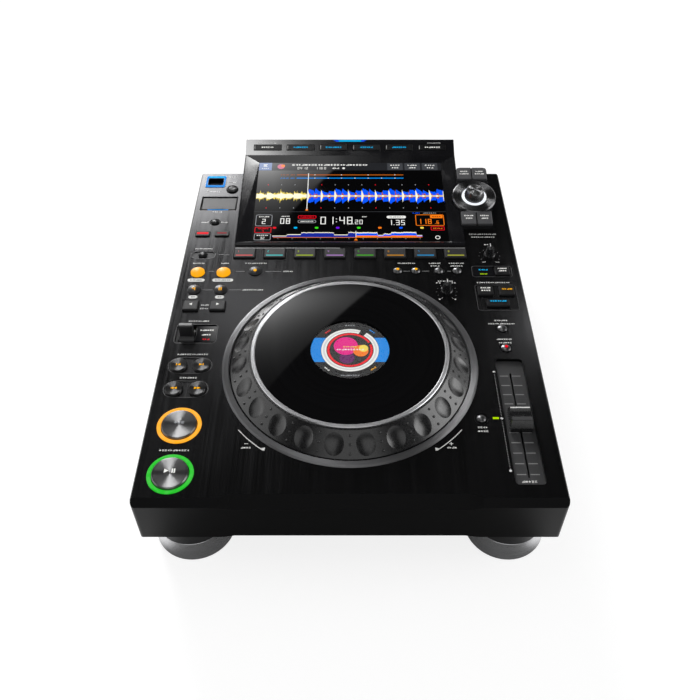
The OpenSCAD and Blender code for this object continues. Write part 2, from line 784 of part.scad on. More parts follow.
module foot() {
    difference() {
        rotate_extrude() polygon([
            [0, pad_t], [foot_r - pad_in + 0.2, pad_t], [foot_r - pad_in + 0.2, foot_clear],
            [foot_r - 0.8, foot_clear],
            [foot_r, foot_clear + 0.8], [foot_top_r, foot_top - 0.5], [foot_top_r - 0.5, foot_top],
            [0, foot_top]]);
        translate([0, 0, pad_t + 6]) cylinder(r = foot_bore, h = foot_h);
    }
}

module feet() {
    color("#8d9094") for (p = foot_at) translate([p[0], p[1], 0]) foot();
}

module foot_pads() {
    color("#101010") for (p = foot_at) translate([p[0], p[1], 0])
        rotate_extrude() polygon([
            [0, 0], [foot_r - pad_in - 1, 0], [foot_r - pad_in, 1], [foot_r - pad_in, pad_t],
            [0, pad_t]]);
}

// ---- display -------------------------------------------------------------

module screen_block() {
    rotate([90, 0, 90]) translate([0, 0, -screen_w / 2]) linear_extrude(screen_w)
        polygon([[lip_y, deck_z], [lip_y, lip_z - 0.2], [lip_y + lip_step, lip_z],
                 [ridge_y, ridge_z], [case_d / 2, top_z], [case_d / 2, top_z - 7],
                 [back_y + 15, deck_z + 5], [back_y + 1, deck_z]]);
    box(-screen_w / 2 + 3 + seat_gap, screen_w / 2 - 3 - seat_gap, lip_y + 4 + seat_gap,
        back_y - 4 - seat_gap, under_z - 1, deck_z + e);
}

// Wedge-shaped frame that falls from the housing's edges to the glass
module bezel_cut() {
    hull() {
        glass_frame(glass_w, glass_l, 0, e);
        translate([0, lip_y + lip_step, lip_z]) rotate([slope_screen, 0, 0])
            box(-screen_w / 2 + bezel_in, screen_w / 2 - bezel_in, 1,
                (ridge_y - lip_y - lip_step) / cos(slope_screen) - bezel_in, 0, 1);
    }
}

module glass_frame(w, l, z0, z1) {
    translate([0, glass_y, deck_z + glass_front_h]) rotate([glass_angle, 0, 0])
        box(-w / 2, w / 2, (glass_l - l) / 2, (glass_l + l) / 2, z0, z1);
}

module on_strip() {
    translate([0, ridge_y, ridge_z]) rotate([strip_angle, 0, 0]) translate([0, strip_mid, 0]) children();
}

module screen_housing() {
    color("#2a2b2d") difference() {
        screen_block();
        bezel_cut();
        glass_frame(glass_w + 2 * seat_gap, glass_l + 2 * seat_gap, -glass_t - e, 1);
        on_strip() for (i = [0:5]) translate([(i - 2.5) * strip_pitch, 0, 0])
            slab(strip_key_w + 2 * button_gap, strip_key_l + 2 * button_gap, 0.8,
                 -strip_key_t - travel - slide_gap, 2);
        // Notch in the side for the selector pod
        in_pod() {
            translate([0, (pod_front + pod_back) / 2, 0])
                slab(pod_w + 2 * slide_gap, pod_back - pod_front, 1, -40, 40);
            translate([0, 0, -40]) cylinder(r = plate_r + slide_gap, h = 80);
        }
    }
}

module display_panel() {
    color("#050506") glass_frame(glass_w, glass_l, -glass_t, 0);
}

module browse_keys() {
    color("#1d1e20") on_strip() for (i = [0:5]) translate([(i - 2.5) * strip_pitch, 0, 0])
        key_cap(strip_key_w, strip_key_l, -strip_key_t, strip_key_h, 0.8, 0.4);
}

// ---- jog wheel -----------------------------------------------------------

module at_jog() {
    translate([jog[0], jog[1], deck_z]) children();
}

module jog_surround_ring() {
    color("#b9bcc0") at_jog() rotate_extrude() polygon([
        [ring_in, -2], [ring_r, -2], [ring_r, 0.3], [ring_r - 1.6, ring_h], [ring_in + 0.8, ring_h],
        [ring_in, ring_h - 0.8]]);
}

// Hollow that one fingertip fits: round in both directions, set on the slope
module dimple() {
    rotate([0, slope_angle, 0]) translate([0, 0, hollow_along - dimple_depth]) rotate([90, 0, 0])
        rotate_extrude() intersection() {
            translate([hollow_along - hollow_across, 0]) circle(hollow_across, $fn = 96);
            translate([0, -dimple_w]) square([hollow_along + 1, 2 * dimple_w]);
        }
}

module jog_wheel() {
    inner = jog_wall / sin(slope_angle);
    color("#2b2d30") at_jog() difference() {
        rotate_extrude($fn = 180) polygon([
            [bearing_r + run_gap, bearing_z - 1], [bearing_r + hub_t, bearing_z - 1],
            [bearing_r + hub_t, bearing_z + bearing_w], [cup_r + hub_t + 1, bearing_z + bearing_w],
            [cup_r + hub_t + 1, seat_z - web_t], [slope_top_r - inner, seat_z - web_t],
            [wheel_r - jog_wall, slope_foot - 0.6], [wheel_r - jog_wall, -skirt], [wheel_r, -skirt],
            [wheel_r, slope_foot], [slope_top_r, jog_h], [trim_out + seat_gap, jog_h],
            [trim_out + seat_gap, seat_z], [cup_r, seat_z], [cup_r, bearing_z + bearing_w + cup_floor],
            [bearing_r - 2, bearing_z + bearing_w + cup_floor], [bearing_r - 2, bearing_z + bearing_w],
            [bearing_r + run_gap, bearing_z + bearing_w]]);
        for (i = [0:dimple_count - 1]) rotate([0, 0, -90 + (i + 0.5) * 360 / dimple_count])
            translate([dimple_r, 0, dimple_z]) dimple();
    }
}

module jog_top_plate() {
    color("#08090a") at_jog() tube(window_r + seat_gap, plate_out - seat_gap, seat_z, seat_z + top_t);
}

module jog_window() {
    color("#101214") at_jog() translate([0, 0, seat_z]) cylinder(r = window_r, h = top_t);
}

module jog_trim_ring() {
    top = seat_z + top_t;
    color("#c9ccd0") at_jog() rotate_extrude() polygon([
        [plate_out, seat_z], [trim_out, seat_z], [trim_out, top], [trim_out - 0.6, top + 0.6],
        [plate_out + 0.6, top + 0.6], [plate_out, top]]);
}

module jog_post() {
    color("#9a9da1") at_jog() rotate_extrude() polygon([
        [post_bore, -well_depth], [post_flange_r, -well_depth],
        [post_flange_r, -well_depth + post_plate_t], [post_r + 2.4, -well_depth + post_plate_t],
        [post_r + 2.4, bearing_z], [post_r, bearing_z], [post_r, display_z - 2],
        [post_head_r, display_z - 2], [post_head_r, display_z], [post_bore, display_z]]);
}

module bearing_inner_race() {
    color("#c4c7cb") at_jog() translate([0, 0, bearing_z]) {
        difference() {
            tube(post_r + run_gap / 2, post_r + race_t, 0, bearing_w);
            translate([0, 0, bearing_w / 2]) rotate_extrude()
                translate([ball_pitch, 0]) circle(ball_r + run_gap);
        }
        for (i = [0:ball_count - 1]) rotate([0, 0, i * 360 / ball_count])
            translate([ball_pitch - 2 * run_gap, 0, bearing_w / 2]) sphere(ball_r);
    }
}

module bearing_outer_race() {
    color("#c4c7cb") at_jog() translate([0, 0, bearing_z]) difference() {
        tube(bearing_r - race_t, bearing_r, 0, bearing_w);
        translate([0, 0, bearing_w / 2]) rotate_extrude()
            translate([ball_pitch, 0]) circle(ball_r + run_gap);
    }
}

module jog_display() {
    color("#202226") at_jog() translate([0, 0, display_z])
        cylinder(r = cup_r - display_gap, h = display_t);
}

// ---- inside --------------------------------------------------------------

board_gap = 1;
side_board_in = 4;
side_board_w = 58;
board_front_in = 14;
cue_board_l = 32;
rear_board_in = 70;
post_size = 2.5;
post_x = side_x - side_board_in - 3.5;
post_rows = [52, 95, 196];
stop_board = [20, 22];
stop_board_at = [stop_at[0] + 2, stop_at[1] - 3];
stop_post = [stop_at[0] + 8, stop_at[1] - 10];
board_posts = concat(
    [for (s = [-1, 1], y = post_rows) [s * post_x, front_y + y]],
    [for (s = [-1, 1]) [s * post_x, cue_y - 14]], [[-post_x, back_y - rear_board_in - 5], stop_post]);
main_board_z = foot_h + 9;
main_board = [220, 150];
processor = [70, 70, 12];
supply = [55, 105, 28];
main_board_y = back_y - 25 - main_board[1] / 2;
main_posts = [for (x = [-1, 1], y = [-1, 1])
    [x * (main_board[0] / 2 - 6), main_board_y + y * (main_board[1] / 2 - 6)]];

module tact_switch(at) {
    translate([at[0], at[1], 0]) {
        box(-3, 3, -3, 3, board_z - e, switch_top - 1.2);
        translate([0, 0, switch_top - 1.2 - e]) cylinder(r = 1.7, h = 1.2 + e);
    }
}

module circuit_boards() {
    outer = side_x - side_board_in;
    color("#1f5a3a") difference() {
        union() {
            for (s = [-1, 1]) translate([s * (outer - side_board_w / 2), 0, 0])
                box(-side_board_w / 2, side_board_w / 2, front_y + board_front_in,
                    cue_y - cue_board_l - board_gap, board_z - board_t, board_z);
            box(-outer, outer, cue_y - cue_board_l, lip_y + 2, board_z - board_t, board_z);
            translate([-outer, 0, 0]) box(0, side_board_w, lip_y + 2 + board_gap, back_y - rear_board_in,
                board_z - board_t, board_z);
            translate([stop_board_at[0], stop_board_at[1], 0])
                slab(stop_board[0], stop_board[1], 1, board_z - board_t, board_z);
        }
        for (p = screws) translate([p[0], p[1], 0]) cylinder(r = boss_r + 0.5, h = deck_z);
    }
    color("#1f5a3a") {
        for (c = round_controls) tact_switch(c[0]);
        for (c = key_controls) tact_switch(c[0]);
        for (p = [play_at, cue_at]) tact_switch(p);
    }
    // Main board with its shielded processor, and the power supply's can
    color("#1f5a3a") translate([0, main_board_y, 0]) {
        box(-main_board[0] / 2, main_board[0] / 2, -main_board[1] / 2, main_board[1] / 2,
            main_board_z, main_board_z + board_t);
        translate([-processor[0] / 2 - 25, -processor[1] / 2 - 5, main_board_z + board_t - e])
            cube(processor);
        translate([main_board[0] / 2 - supply[0] - 10, -supply[1] / 2 - 7, main_board_z + board_t - e])
            cube(supply);
    }
}

// ---- light pipes, windows and media slots ---------------------------------

module light_rings() {
    color("#e8ebe6") for (p = [play_at, cue_at]) translate([p[0], p[1], deck_z])
        rotate_extrude() polygon([[light_in, -light_t], [light_out, -light_t], [light_out, 0.2],
            [light_out - 0.6, 0.8], [light_in + 0.6, 0.8], [light_in, 0.2]]);
    color("#f2f4f5") in_pod() tube(selector_r + 0.9, white_r - seat_gap, -plate_t, -0.8);
}

module indicator_windows() {
    color("#0c0d0f") {
        translate([window_at[0], window_at[1], 0]) slab(window_w, window_l, 1, deck_z - 2, deck_z - 0.6);
        translate([mode_window_at[0], mode_window_at[1], 0])
            slab(mode_window[0], mode_window[1], 1, deck_z - 2, deck_z - 0.2);
        translate([tempo_light_at[0], tempo_light_at[1], 0])
            slab(tempo_light[0] - 2 * seat_gap, tempo_light[1] - 2 * seat_gap, 0.4,
                 deck_z - 1, deck_z + 0.2);
    }
    color("#7fc4ff") translate([usb_at[0], usb_at[1], 0]) difference() {
        slab(usb_frame[0], usb_frame[1], 1.5, deck_z - usb_t, deck_z + 0.4);
        slab(usb_port[0], usb_port[1], 1, deck_z - usb_t - 1, deck_z + 1);
    }
}

module media_sockets() {
    color("#8f9296") translate([usb_at[0], usb_at[1], deck_z - usb_depth - usb_len]) {
        difference() {
            slab(usb_shell[0], usb_shell[1], 0.3, 0, usb_len);
            slab(usb_shell[0] - 2 * usb_shell_t, usb_shell[1] - 2 * usb_shell_t, 0.2, 1.5, usb_len + 1);
        }
        box(-5.5, 5.5, 0.2, 2, 1, usb_len - 1);
        // Flange under the tub
        tub_z = usb_len - tub_wall - 1.2;
        difference() {
            slab(usb_shell[0] + 4, usb_shell[1] + 4, 1, tub_z, tub_z + 1.2);
            slab(usb_shell[0] - 1, usb_shell[1] - 1, 0.2, tub_z - 1, tub_z + 3);
        }
    }
    color("#2c2d2f") translate([card_at[0], card_at[1], deck_z - card_depth - tub_wall]) difference() {
        slab(card_slit[0] + 5, card_slit[1] + 6, 1, -22, 0);
        slab(card_slit[0], card_slit[1], 0.3, -20, 1);
    }
}

// Hinge axis of the card door: y and z
door_axis = [card_at[1] + card_pit[1] / 2 - 2.6, deck_z - door_barrel - 0.6];

module card_door() {
    w = card_pit[0] - 2 * slide_gap - 1;
    l = card_pit[1] - 2.6 - slide_gap;
    color("#232427") {
        translate([card_at[0], 0, deck_z - 0.5]) {
            translate([0, door_axis[0] - l / 2, 0]) slab(w, l, 1, -door_t, 0);
            translate([0, door_axis[0] - l + 2, 0]) box(-6, 6, -1.4, 1.4, -e, 0.5);
        }
        translate([card_at[0] - w / 2, door_axis[0], door_axis[1]]) rotate([0, 90, 0])
            cylinder(r = door_barrel, h = w);
        translate([card_at[0] - card_pit[0] / 2 - 0.8, door_axis[0], door_axis[1]]) rotate([0, 90, 0])
            cylinder(r = door_pin, h = card_pit[0] + 1.6);
    }
}

// ---- fader ---------------------------------------------------------------

module fader_plate() {
    color("#3a3b3e") translate([right_x, 0, 0]) {
        difference() {
            translate([0, fader_y + tray_off, 0])
                slab(tray_w + 2 * tray_rim, tray_l + 2 * tray_rim, 3, under_z - tray_t, under_z);
            translate([0, fader_y, 0]) slab(slot_w, slot_l, 0.4, under_z - tray_t - 1, under_z + 1);
        }
        difference() {
            translate([0, fader_y, 0])
                box(-body_w / 2, body_w / 2, -slot_l / 2 - 8, slot_l / 2 + 8,
                    under_z - tray_t - body_h, under_z - tray_t);
            translate([0, fader_y, 0])
                box(-4, 4, -slot_l / 2 - 2, slot_l / 2 + 2,
                    under_z - tray_t - body_h + 2, under_z - tray_t - 1);
            translate([0, fader_y, 0]) slab(slot_w, slot_l, 0.4, under_z - tray_t - 2, under_z + 1);
        }
    }
}

module tempo_fader_cap() {
    foot_z = under_z + slide_gap;
    top = deck_z + cap_h;
    half = cap_l / 2;
    color("#2e3033") translate([right_x, fader_y, 0]) {
        // Saddle-shaped cap: two ridges with a finger hollow between them
        intersection() {
            rotate([90, 0, 90]) translate([0, 0, -cap_w / 2]) linear_extrude(cap_w) difference() {
                polygon([[-half, foot_z], [half, foot_z], [half, foot_z + 5], [half - 3, top],
                         [-half + 3, top], [-half, foot_z + 5]]);
                translate([0, top + 4.4]) circle(7.2, $fn = 96);
            }
            rotate([90, 0, 0]) translate([0, 0, -cap_l]) linear_extrude(2 * cap_l)
                polygon([[-cap_w / 2, foot_z - 1], [cap_w / 2, foot_z - 1], [cap_w / 2, top - 2],
                         [cap_w / 2 - 0.8, top], [-cap_w / 2 + 0.8, top], [-cap_w / 2, top - 2]]);
        }
        translate([-fader_stem[0] / 2, -fader_stem[1] / 2, under_z - tray_t - body_h + 4])
            cube([fader_stem[0], fader_stem[1], tray_t + body_h - 3]);
        box(-3, 3, -4, 4, under_z - tray_t - body_h + 3, under_z - tray_t - body_h + 6);
    }
}

// ---- selector ------------------------------------------------------------

module in_pod() {
    translate([selector_at[0], selector_at[1], pod_z]) rotate([selector_tilt, 0, 0]) children();
}

module pod_outline() {
    intersection() {
        translate([-pod_w / 2, pod_front]) square([pod_w, pod_back - pod_front]);
        circle(pod_round, $fn = 96);
    }
}

module selector_pod() {
    color("#111214") difference() {
        intersection() {
            in_pod() {
                translate([0, 0, -40]) linear_extrude(40 - 2) pod_outline();
                translate([0, 0, -40]) cylinder(r = plate_r - 0.6, h = 40 - plate_t);
            }
            box(selector_at[0] - 40, selector_at[0] + 40, selector_at[1] - 60, selector_at[1] + 60,
                deck_z, deck_z + 60);
        }
        in_pod() {
            for (p = concat(pod_keys, pod_front_keys)) translate([p[0], p[1], 0]) pod_pocket();
            translate([0, 0, -plate_t]) cylinder(r = plate_r + seat_gap, h = 20);
            translate([0, 0, -shaft_l - 2 * selector_travel]) cylinder(r = shaft_r + run_gap, h = 60);
        }
    }
    // Encoder that the shaft turns and pushes, under the pod
    color("#111214") in_pod() translate([0, 0, -shaft_l - 2 * selector_travel]) {
        tube(shaft_r + run_gap, encoder_r, 0, shaft_l + 2 * selector_travel - encoder_top);
        translate([0, 0, -3]) cylinder(r = encoder_r, h = 3 + e);
    }
}

// Centres of the keys behind the plate and in front of it
pod_key_l = 17.2;
pod_keys = [for (s = [-1, 1]) [s * (pod_key_w / 2 + 0.6), pod_back - pod_key_l / 2 - 1.2]];
pod_front_keys = [for (s = [-1, 1]) [s * (pod_key_w / 2 + 0.6), pod_front + pod_key_l / 2 + 1.2]];

module pod_pocket() {
    slab(pod_key_w + 2 * button_gap, pod_key_l + 2 * button_gap, 1, -pod_key_t - travel - slide_gap, 5);
}

module selector_keys() {
    color("#4b4d50") in_pod() difference() {
        intersection() {
            for (p = concat(pod_keys, pod_front_keys)) translate([p[0], p[1], 0])
                key_cap(pod_key_w, pod_key_l, -pod_key_t, 0.6, 1, 0.6);
            translate([0, 0, -20]) cylinder(r = pod_round - 1, h = 40, $fn = 96);
        }
        translate([0, 0, -20]) cylinder(r = plate_r + 0.5, h = 40);
    }
}

module selector_plate() {
    color("#26282b") in_pod() rotate_extrude() polygon([
        [white_r, -plate_t], [plate_r, -plate_t], [plate_r, -0.8], [plate_r - 0.9, 0],
        [white_r + 0.6, -0.3], [white_r, -0.9]]);
}

module selector_shaft() {
    color("#a5a8ac") in_pod() translate([0, 0, -shaft_l])
        cylinder(r = shaft_r, h = shaft_l + selector_h - 4 - run_gap);
}

// Knob with a flared, fluted foot that stays above the lit ring when it is pressed
module selector_knob() {
    low = -plate_t + selector_travel + 0.6;
    foot_r = selector_r + selector_flare;
    skirt_z = selector_travel + 0.3;
    lean = atan((selector_flare + 0.6) / (selector_h - 0.8 - skirt_z));
    color("#2f3134") in_pod() difference() {
        rotate_extrude() polygon([
            [0, low], [selector_r, low], [selector_r, skirt_z], [foot_r, skirt_z],
            [selector_r - 0.6, selector_h - 0.8], [selector_r - 1.4, selector_h], [0, selector_h]]);
        translate([0, 0, -20]) cylinder(r = shaft_r + run_gap, h = 20 + selector_h - 4);
        for (i = [0:23]) rotate([0, 0, i * 15]) translate([foot_r + 0.35, 0, skirt_z])
            rotate([0, -lean, 0]) translate([0, 0, -2]) cylinder(r = 0.8, h = selector_h - skirt_z);
    }
}

// ---- knobs and lever -------------------------------------------------------

module pointer_knob(at) {
    color("#232527") translate([at[0], at[1], deck_z]) {
        turned_disc(knob_r, slide_gap, 3, 0.5);
        translate([0, 0, 2.5]) cylinder(r1 = knob_r - 1, r2 = knob_r - 2, h = knob_h - 3.5);
        // Upright pointer across the top
        intersection() {
            translate([0, 0, 2.5]) cylinder(r1 = knob_r, r2 = knob_r - 0.6, h = knob_h - 2.5);
            box(-1.1, 1.1, -knob_r, knob_r, 2.5, knob_h);
        }
        translate([0, 0, -wall - 9]) cylinder(r = knob_hole, h = wall + 10);
    }
}

module direction_lever() {
    top = deck_z + lever_h - drum_z;
    color("#2a2c2f") translate([lever_at[0], lever_at[1], drum_z]) {
        rotate([0, 90, 0]) translate([0, 0, -lever_w / 2]) cylinder(r = drum_r, h = lever_w);
        rotate([0, 90, 0]) translate([0, 0, -lever_slot_w / 2 - 2.8])
            cylinder(r = trunnion_r, h = lever_slot_w + 5.6);
        // Blade that the finger flicks
        rotate([90, 0, 90]) translate([0, 0, -lever_w / 2 + 0.9]) linear_extrude(lever_w - 1.8)
            polygon([[-4, 4], [4, 4], [2.6, top - 1], [1.6, top], [-1.6, top], [-2.6, top - 1]]);
    }
}

// ---- buttons ---------------------------------------------------------------

module big_button(at) {
    color("#6d7074") difference() {
        round_button(at, play_r, play_h, 0.7);
        translate([at[0], at[1], deck_z + play_h - 0.4 + 180]) sphere(180, $fn = 96);
    }
}

module search_button(at) {
    color("#5a5d61") difference() {
        round_button(at, search_r, 1.8, 0.6);
        translate([at[0], at[1], deck_z + 1.8 - 0.35 + 60]) sphere(60, $fn = 96);
    }
}

module beat_button(at) {
    color("#26272a") dome_button(at, beat_r, dome_h, 1);
}

module loop_button(at) {
    color("#ffb020") dome_button(at, loop_r, dome_h, 1);
}

module beat_jump_keys() {
    color("#1c1d1f") for (p = jump_at) deck_key(p, key_w, key_l, key_h + 0.5, key_r, key_edge);
}

module utility_keys() {
    color("#3a3c40") {
        round_button(stop_at, stop_r, small_h, 0.8);
        dome_button(quantize_at, small_r, small_h, 0.4);
        dome_button(time_at, small_r, small_h, 0.4);
        for (p = slip_at) deck_key(p, slip_w, slip_l, 1.6, key_r, 0.5);
    }
}

module hot_cue(i) {
    color("#2a2b2e") deck_key(cues[i], cue_w, cue_l, key_h, key_r, key_edge);
}

module cue_memory_keys() {
    color("#4a4c50") for (p = memory_at) dome_button(p, small_r, small_h + 0.6, 0.4);
}

module tempo_keys() {
    color("#3a3c40") {
        for (p = [master_at, range_at]) dome_button(p, small_r, small_h, 0.4);
        dome_button(reset_at, small_r - 0.5, small_h, 0.4);
    }
}

module sync_keys() {
    color("#1c1d1f") {
        for (p = sync_at) deck_key(p, key_w, key_l, key_h, key_r, key_edge);
        deck_key(key_sync_at, key_sync_w, key_sync_l, key_h, key_r, key_edge);
    }
}

module jog_mode_key() {
    color("#1c1d1f") deck_key(mode_at, key_w, key_l, key_h, key_r, key_edge);
}

// ---- rear ------------------------------------------------------------------

// Places a rear socket: its own z axis points out of the back of the player
module at_back(x) {
    translate([x, panel_y, socket_z]) rotate([-90, 0, 0]) children();
}

module rear_panel() {
    color("#1b1b1c") difference() {
        translate([0, panel_y, 0]) box(-side_x + wall + seat_gap, side_x - wall - seat_gap, -panel_t, 0,
            pan_top + seat_gap, under_z - seat_gap);
        at_back(inlet_x) slab(inlet_size[0] - 2, inlet_size[1] - 2, 1, -10, 2);
        at_back(lan_x) slab(lan_size[0] - 1, lan_size[1] - 1, 0.5, -10, 2);
        at_back(usb_b_x) slab(usb_b_size[0] - 1, usb_b_size[1] - 1, 0.5, -10, 2);
        for (x = rca_x) at_back(x) translate([0, 0, -10]) cylinder(r = 4.4, h = 12);
        at_back(power_x) slab(power_size[0] + 1, power_size[1] + 1, 1, -10, 2);
        at_back(-side_x + 20) slab(7, 3.2, 1, -10, 2);
    }
}

module rear_sockets() {
    color("#121213") {
        // Mains inlet
        at_back(inlet_x) {
            difference() {
                union() {
                    slab(inlet_size[0], inlet_size[1], 2, 0, 1.6);
                    slab(inlet_size[0] - 2.4, inlet_size[1] - 2.4, 1, -inlet_depth - 3, 1);
                }
                slab(inlet_hole[0], inlet_hole[1], 3, -inlet_depth, 3);
            }
            for (p = [[-7, 2], [7, 2], [0, -2]]) translate([p[0], p[1], 0])
                box(-1, 1, -2, 2, -inlet_depth - 1, -1);
        }
        // Network jack
        at_back(lan_x) difference() {
            union() {
                slab(lan_size[0], lan_size[1], 0.6, 0, 0.6);
                slab(lan_size[0] - 1.4, lan_size[1] - 1.4, 0.4, -18, 0.3);
            }
            slab(lan_hole[0], lan_hole[1], 0.2, -13, 2);
        }
        // Square data jack
        at_back(usb_b_x) {
            difference() {
                union() {
                    slab(usb_b_size[0], usb_b_size[1], 0.6, 0, 0.6);
                    slab(usb_b_size[0] - 1.4, usb_b_size[1] - 1.4, 0.4, -16, 0.3);
                }
                slab(usb_b_hole[0], usb_b_hole[1], 1.2, -10, 2);
            }
            box(-2.8, 2.8, -1.6, 1.6, -11, -1.5);
        }
    }
    // Pin jacks
    color("#b8a15a") for (x = rca_x) at_back(x) difference() {
        rotate_extrude() polygon([[0, -12], [4.2, -12], [4.2, 0], [5.6, 0], [5.6, 1.6], [4.15, 1.6],
            [4.15, 9], [0, 9]]);
        translate([0, 0, -2]) cylinder(r = 1.65, h = 12);
    }
}

module power_switch() {
    color("#161617") at_back(power_x) {
        key_cap(power_size[0], power_size[1], -6, 3, 1, 0.6);
        slab(power_size[0] + 2.4, power_size[1] + 2.4, 1, -6, -panel_t - slide_gap);
    }
}

// ---- drawing ---------------------------------------------------------------

upper_case();
lower_case();
rear_panel();
rear_sockets();
case_screws();
feet();
foot_pads();
screen_housing();
display_panel();
circuit_boards();
media_sockets();
indicator_windows();
light_rings();
fader_plate();
selector_pod();
selector_plate();
jog_surround_ring();
jog_post();
bearing_inner_race();
jog_display();
bearing_outer_race();
jog_wheel();
jog_top_plate();
jog_window();
jog_trim_ring();
big_button(play_at);  // play_button
big_button(cue_at);  // cue_button
search_button(track_at[0]);  // track_back_button
search_button(track_at[1]);  // track_forward_button
search_button(search_at[0]);  // search_back_button
search_button(search_at[1]);  // search_forward_button
direction_lever();
beat_button(beat_at[0]);  // beat_loop_4_button
beat_button(beat_at[1]);  // beat_loop_8_button
loop_button(loop_at[0]);  // loop_in_button
loop_button(loop_at[1]);  // loop_out_button
beat_button(exit_at);  // loop_exit_button
beat_jump_keys();
utility_keys();
for (i = [0:7]) hot_cue(i);
cue_memory_keys();
browse_keys();
selector_keys();
selector_shaft();
selector_knob();
pointer_knob(speed_at);  // speed_adjust_knob
pointer_knob(adjust_at);  // jog_adjust_knob
jog_mode_key();
sync_keys();
tempo_keys();
tempo_fader_cap();
card_door();
power_switch();
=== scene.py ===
"""Finishes, printed marks, lit displays and studio of the tabletop media player.

The classes hold their sizes in millimetres, in the frame of the solids: X to the right, Y to the
back, Z up, with the origin on the table. Meshes are made in metres.
"""
import logging
import math
from dataclasses import dataclass, field
from enum import Enum
from typing import Any, Iterable, Sequence

import bpy
import numpy as np
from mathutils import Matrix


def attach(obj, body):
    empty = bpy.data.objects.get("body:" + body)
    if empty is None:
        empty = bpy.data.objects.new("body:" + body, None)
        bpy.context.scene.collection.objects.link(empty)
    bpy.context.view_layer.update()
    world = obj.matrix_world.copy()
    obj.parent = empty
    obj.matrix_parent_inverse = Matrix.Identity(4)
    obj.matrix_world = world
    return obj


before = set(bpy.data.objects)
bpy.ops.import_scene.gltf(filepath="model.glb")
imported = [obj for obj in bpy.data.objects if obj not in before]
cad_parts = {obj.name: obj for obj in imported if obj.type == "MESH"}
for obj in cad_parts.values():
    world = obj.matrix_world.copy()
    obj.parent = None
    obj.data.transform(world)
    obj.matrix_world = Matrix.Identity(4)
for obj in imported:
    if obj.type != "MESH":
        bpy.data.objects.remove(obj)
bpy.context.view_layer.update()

LOG = logging.getLogger("player")
MM = 0.001
DECK_TOP = 93.0
FULL_TURN = 2 * math.pi
Color = tuple[float, float, float]
Point = tuple[float, float, float]
Flat = tuple[float, float]
Table = tuple[tuple[Any, ...], ...]
Outline = np.ndarray
Outlines = list[np.ndarray]
Socket = bpy.types.NodeSocket


def rgb(red: int, green: int, blue: int) -> Color:
    """Colour for a shader from the numbers that a screen shows it with.

    Args:
        red: its red, 0 to 255.
        green: its green.
        blue: its blue.

    Returns:
        The same colour in linear light, 0 to 1.
    """
    shown = np.array([red, green, blue]) / 255.0
    linear = np.where(shown <= 0.04045, shown / 12.92, ((shown + 0.055) / 1.055) ** 2.4)
    return tuple(float(x) for x in linear)


# ---- shader graphs -----------------------------------------------------------------------------


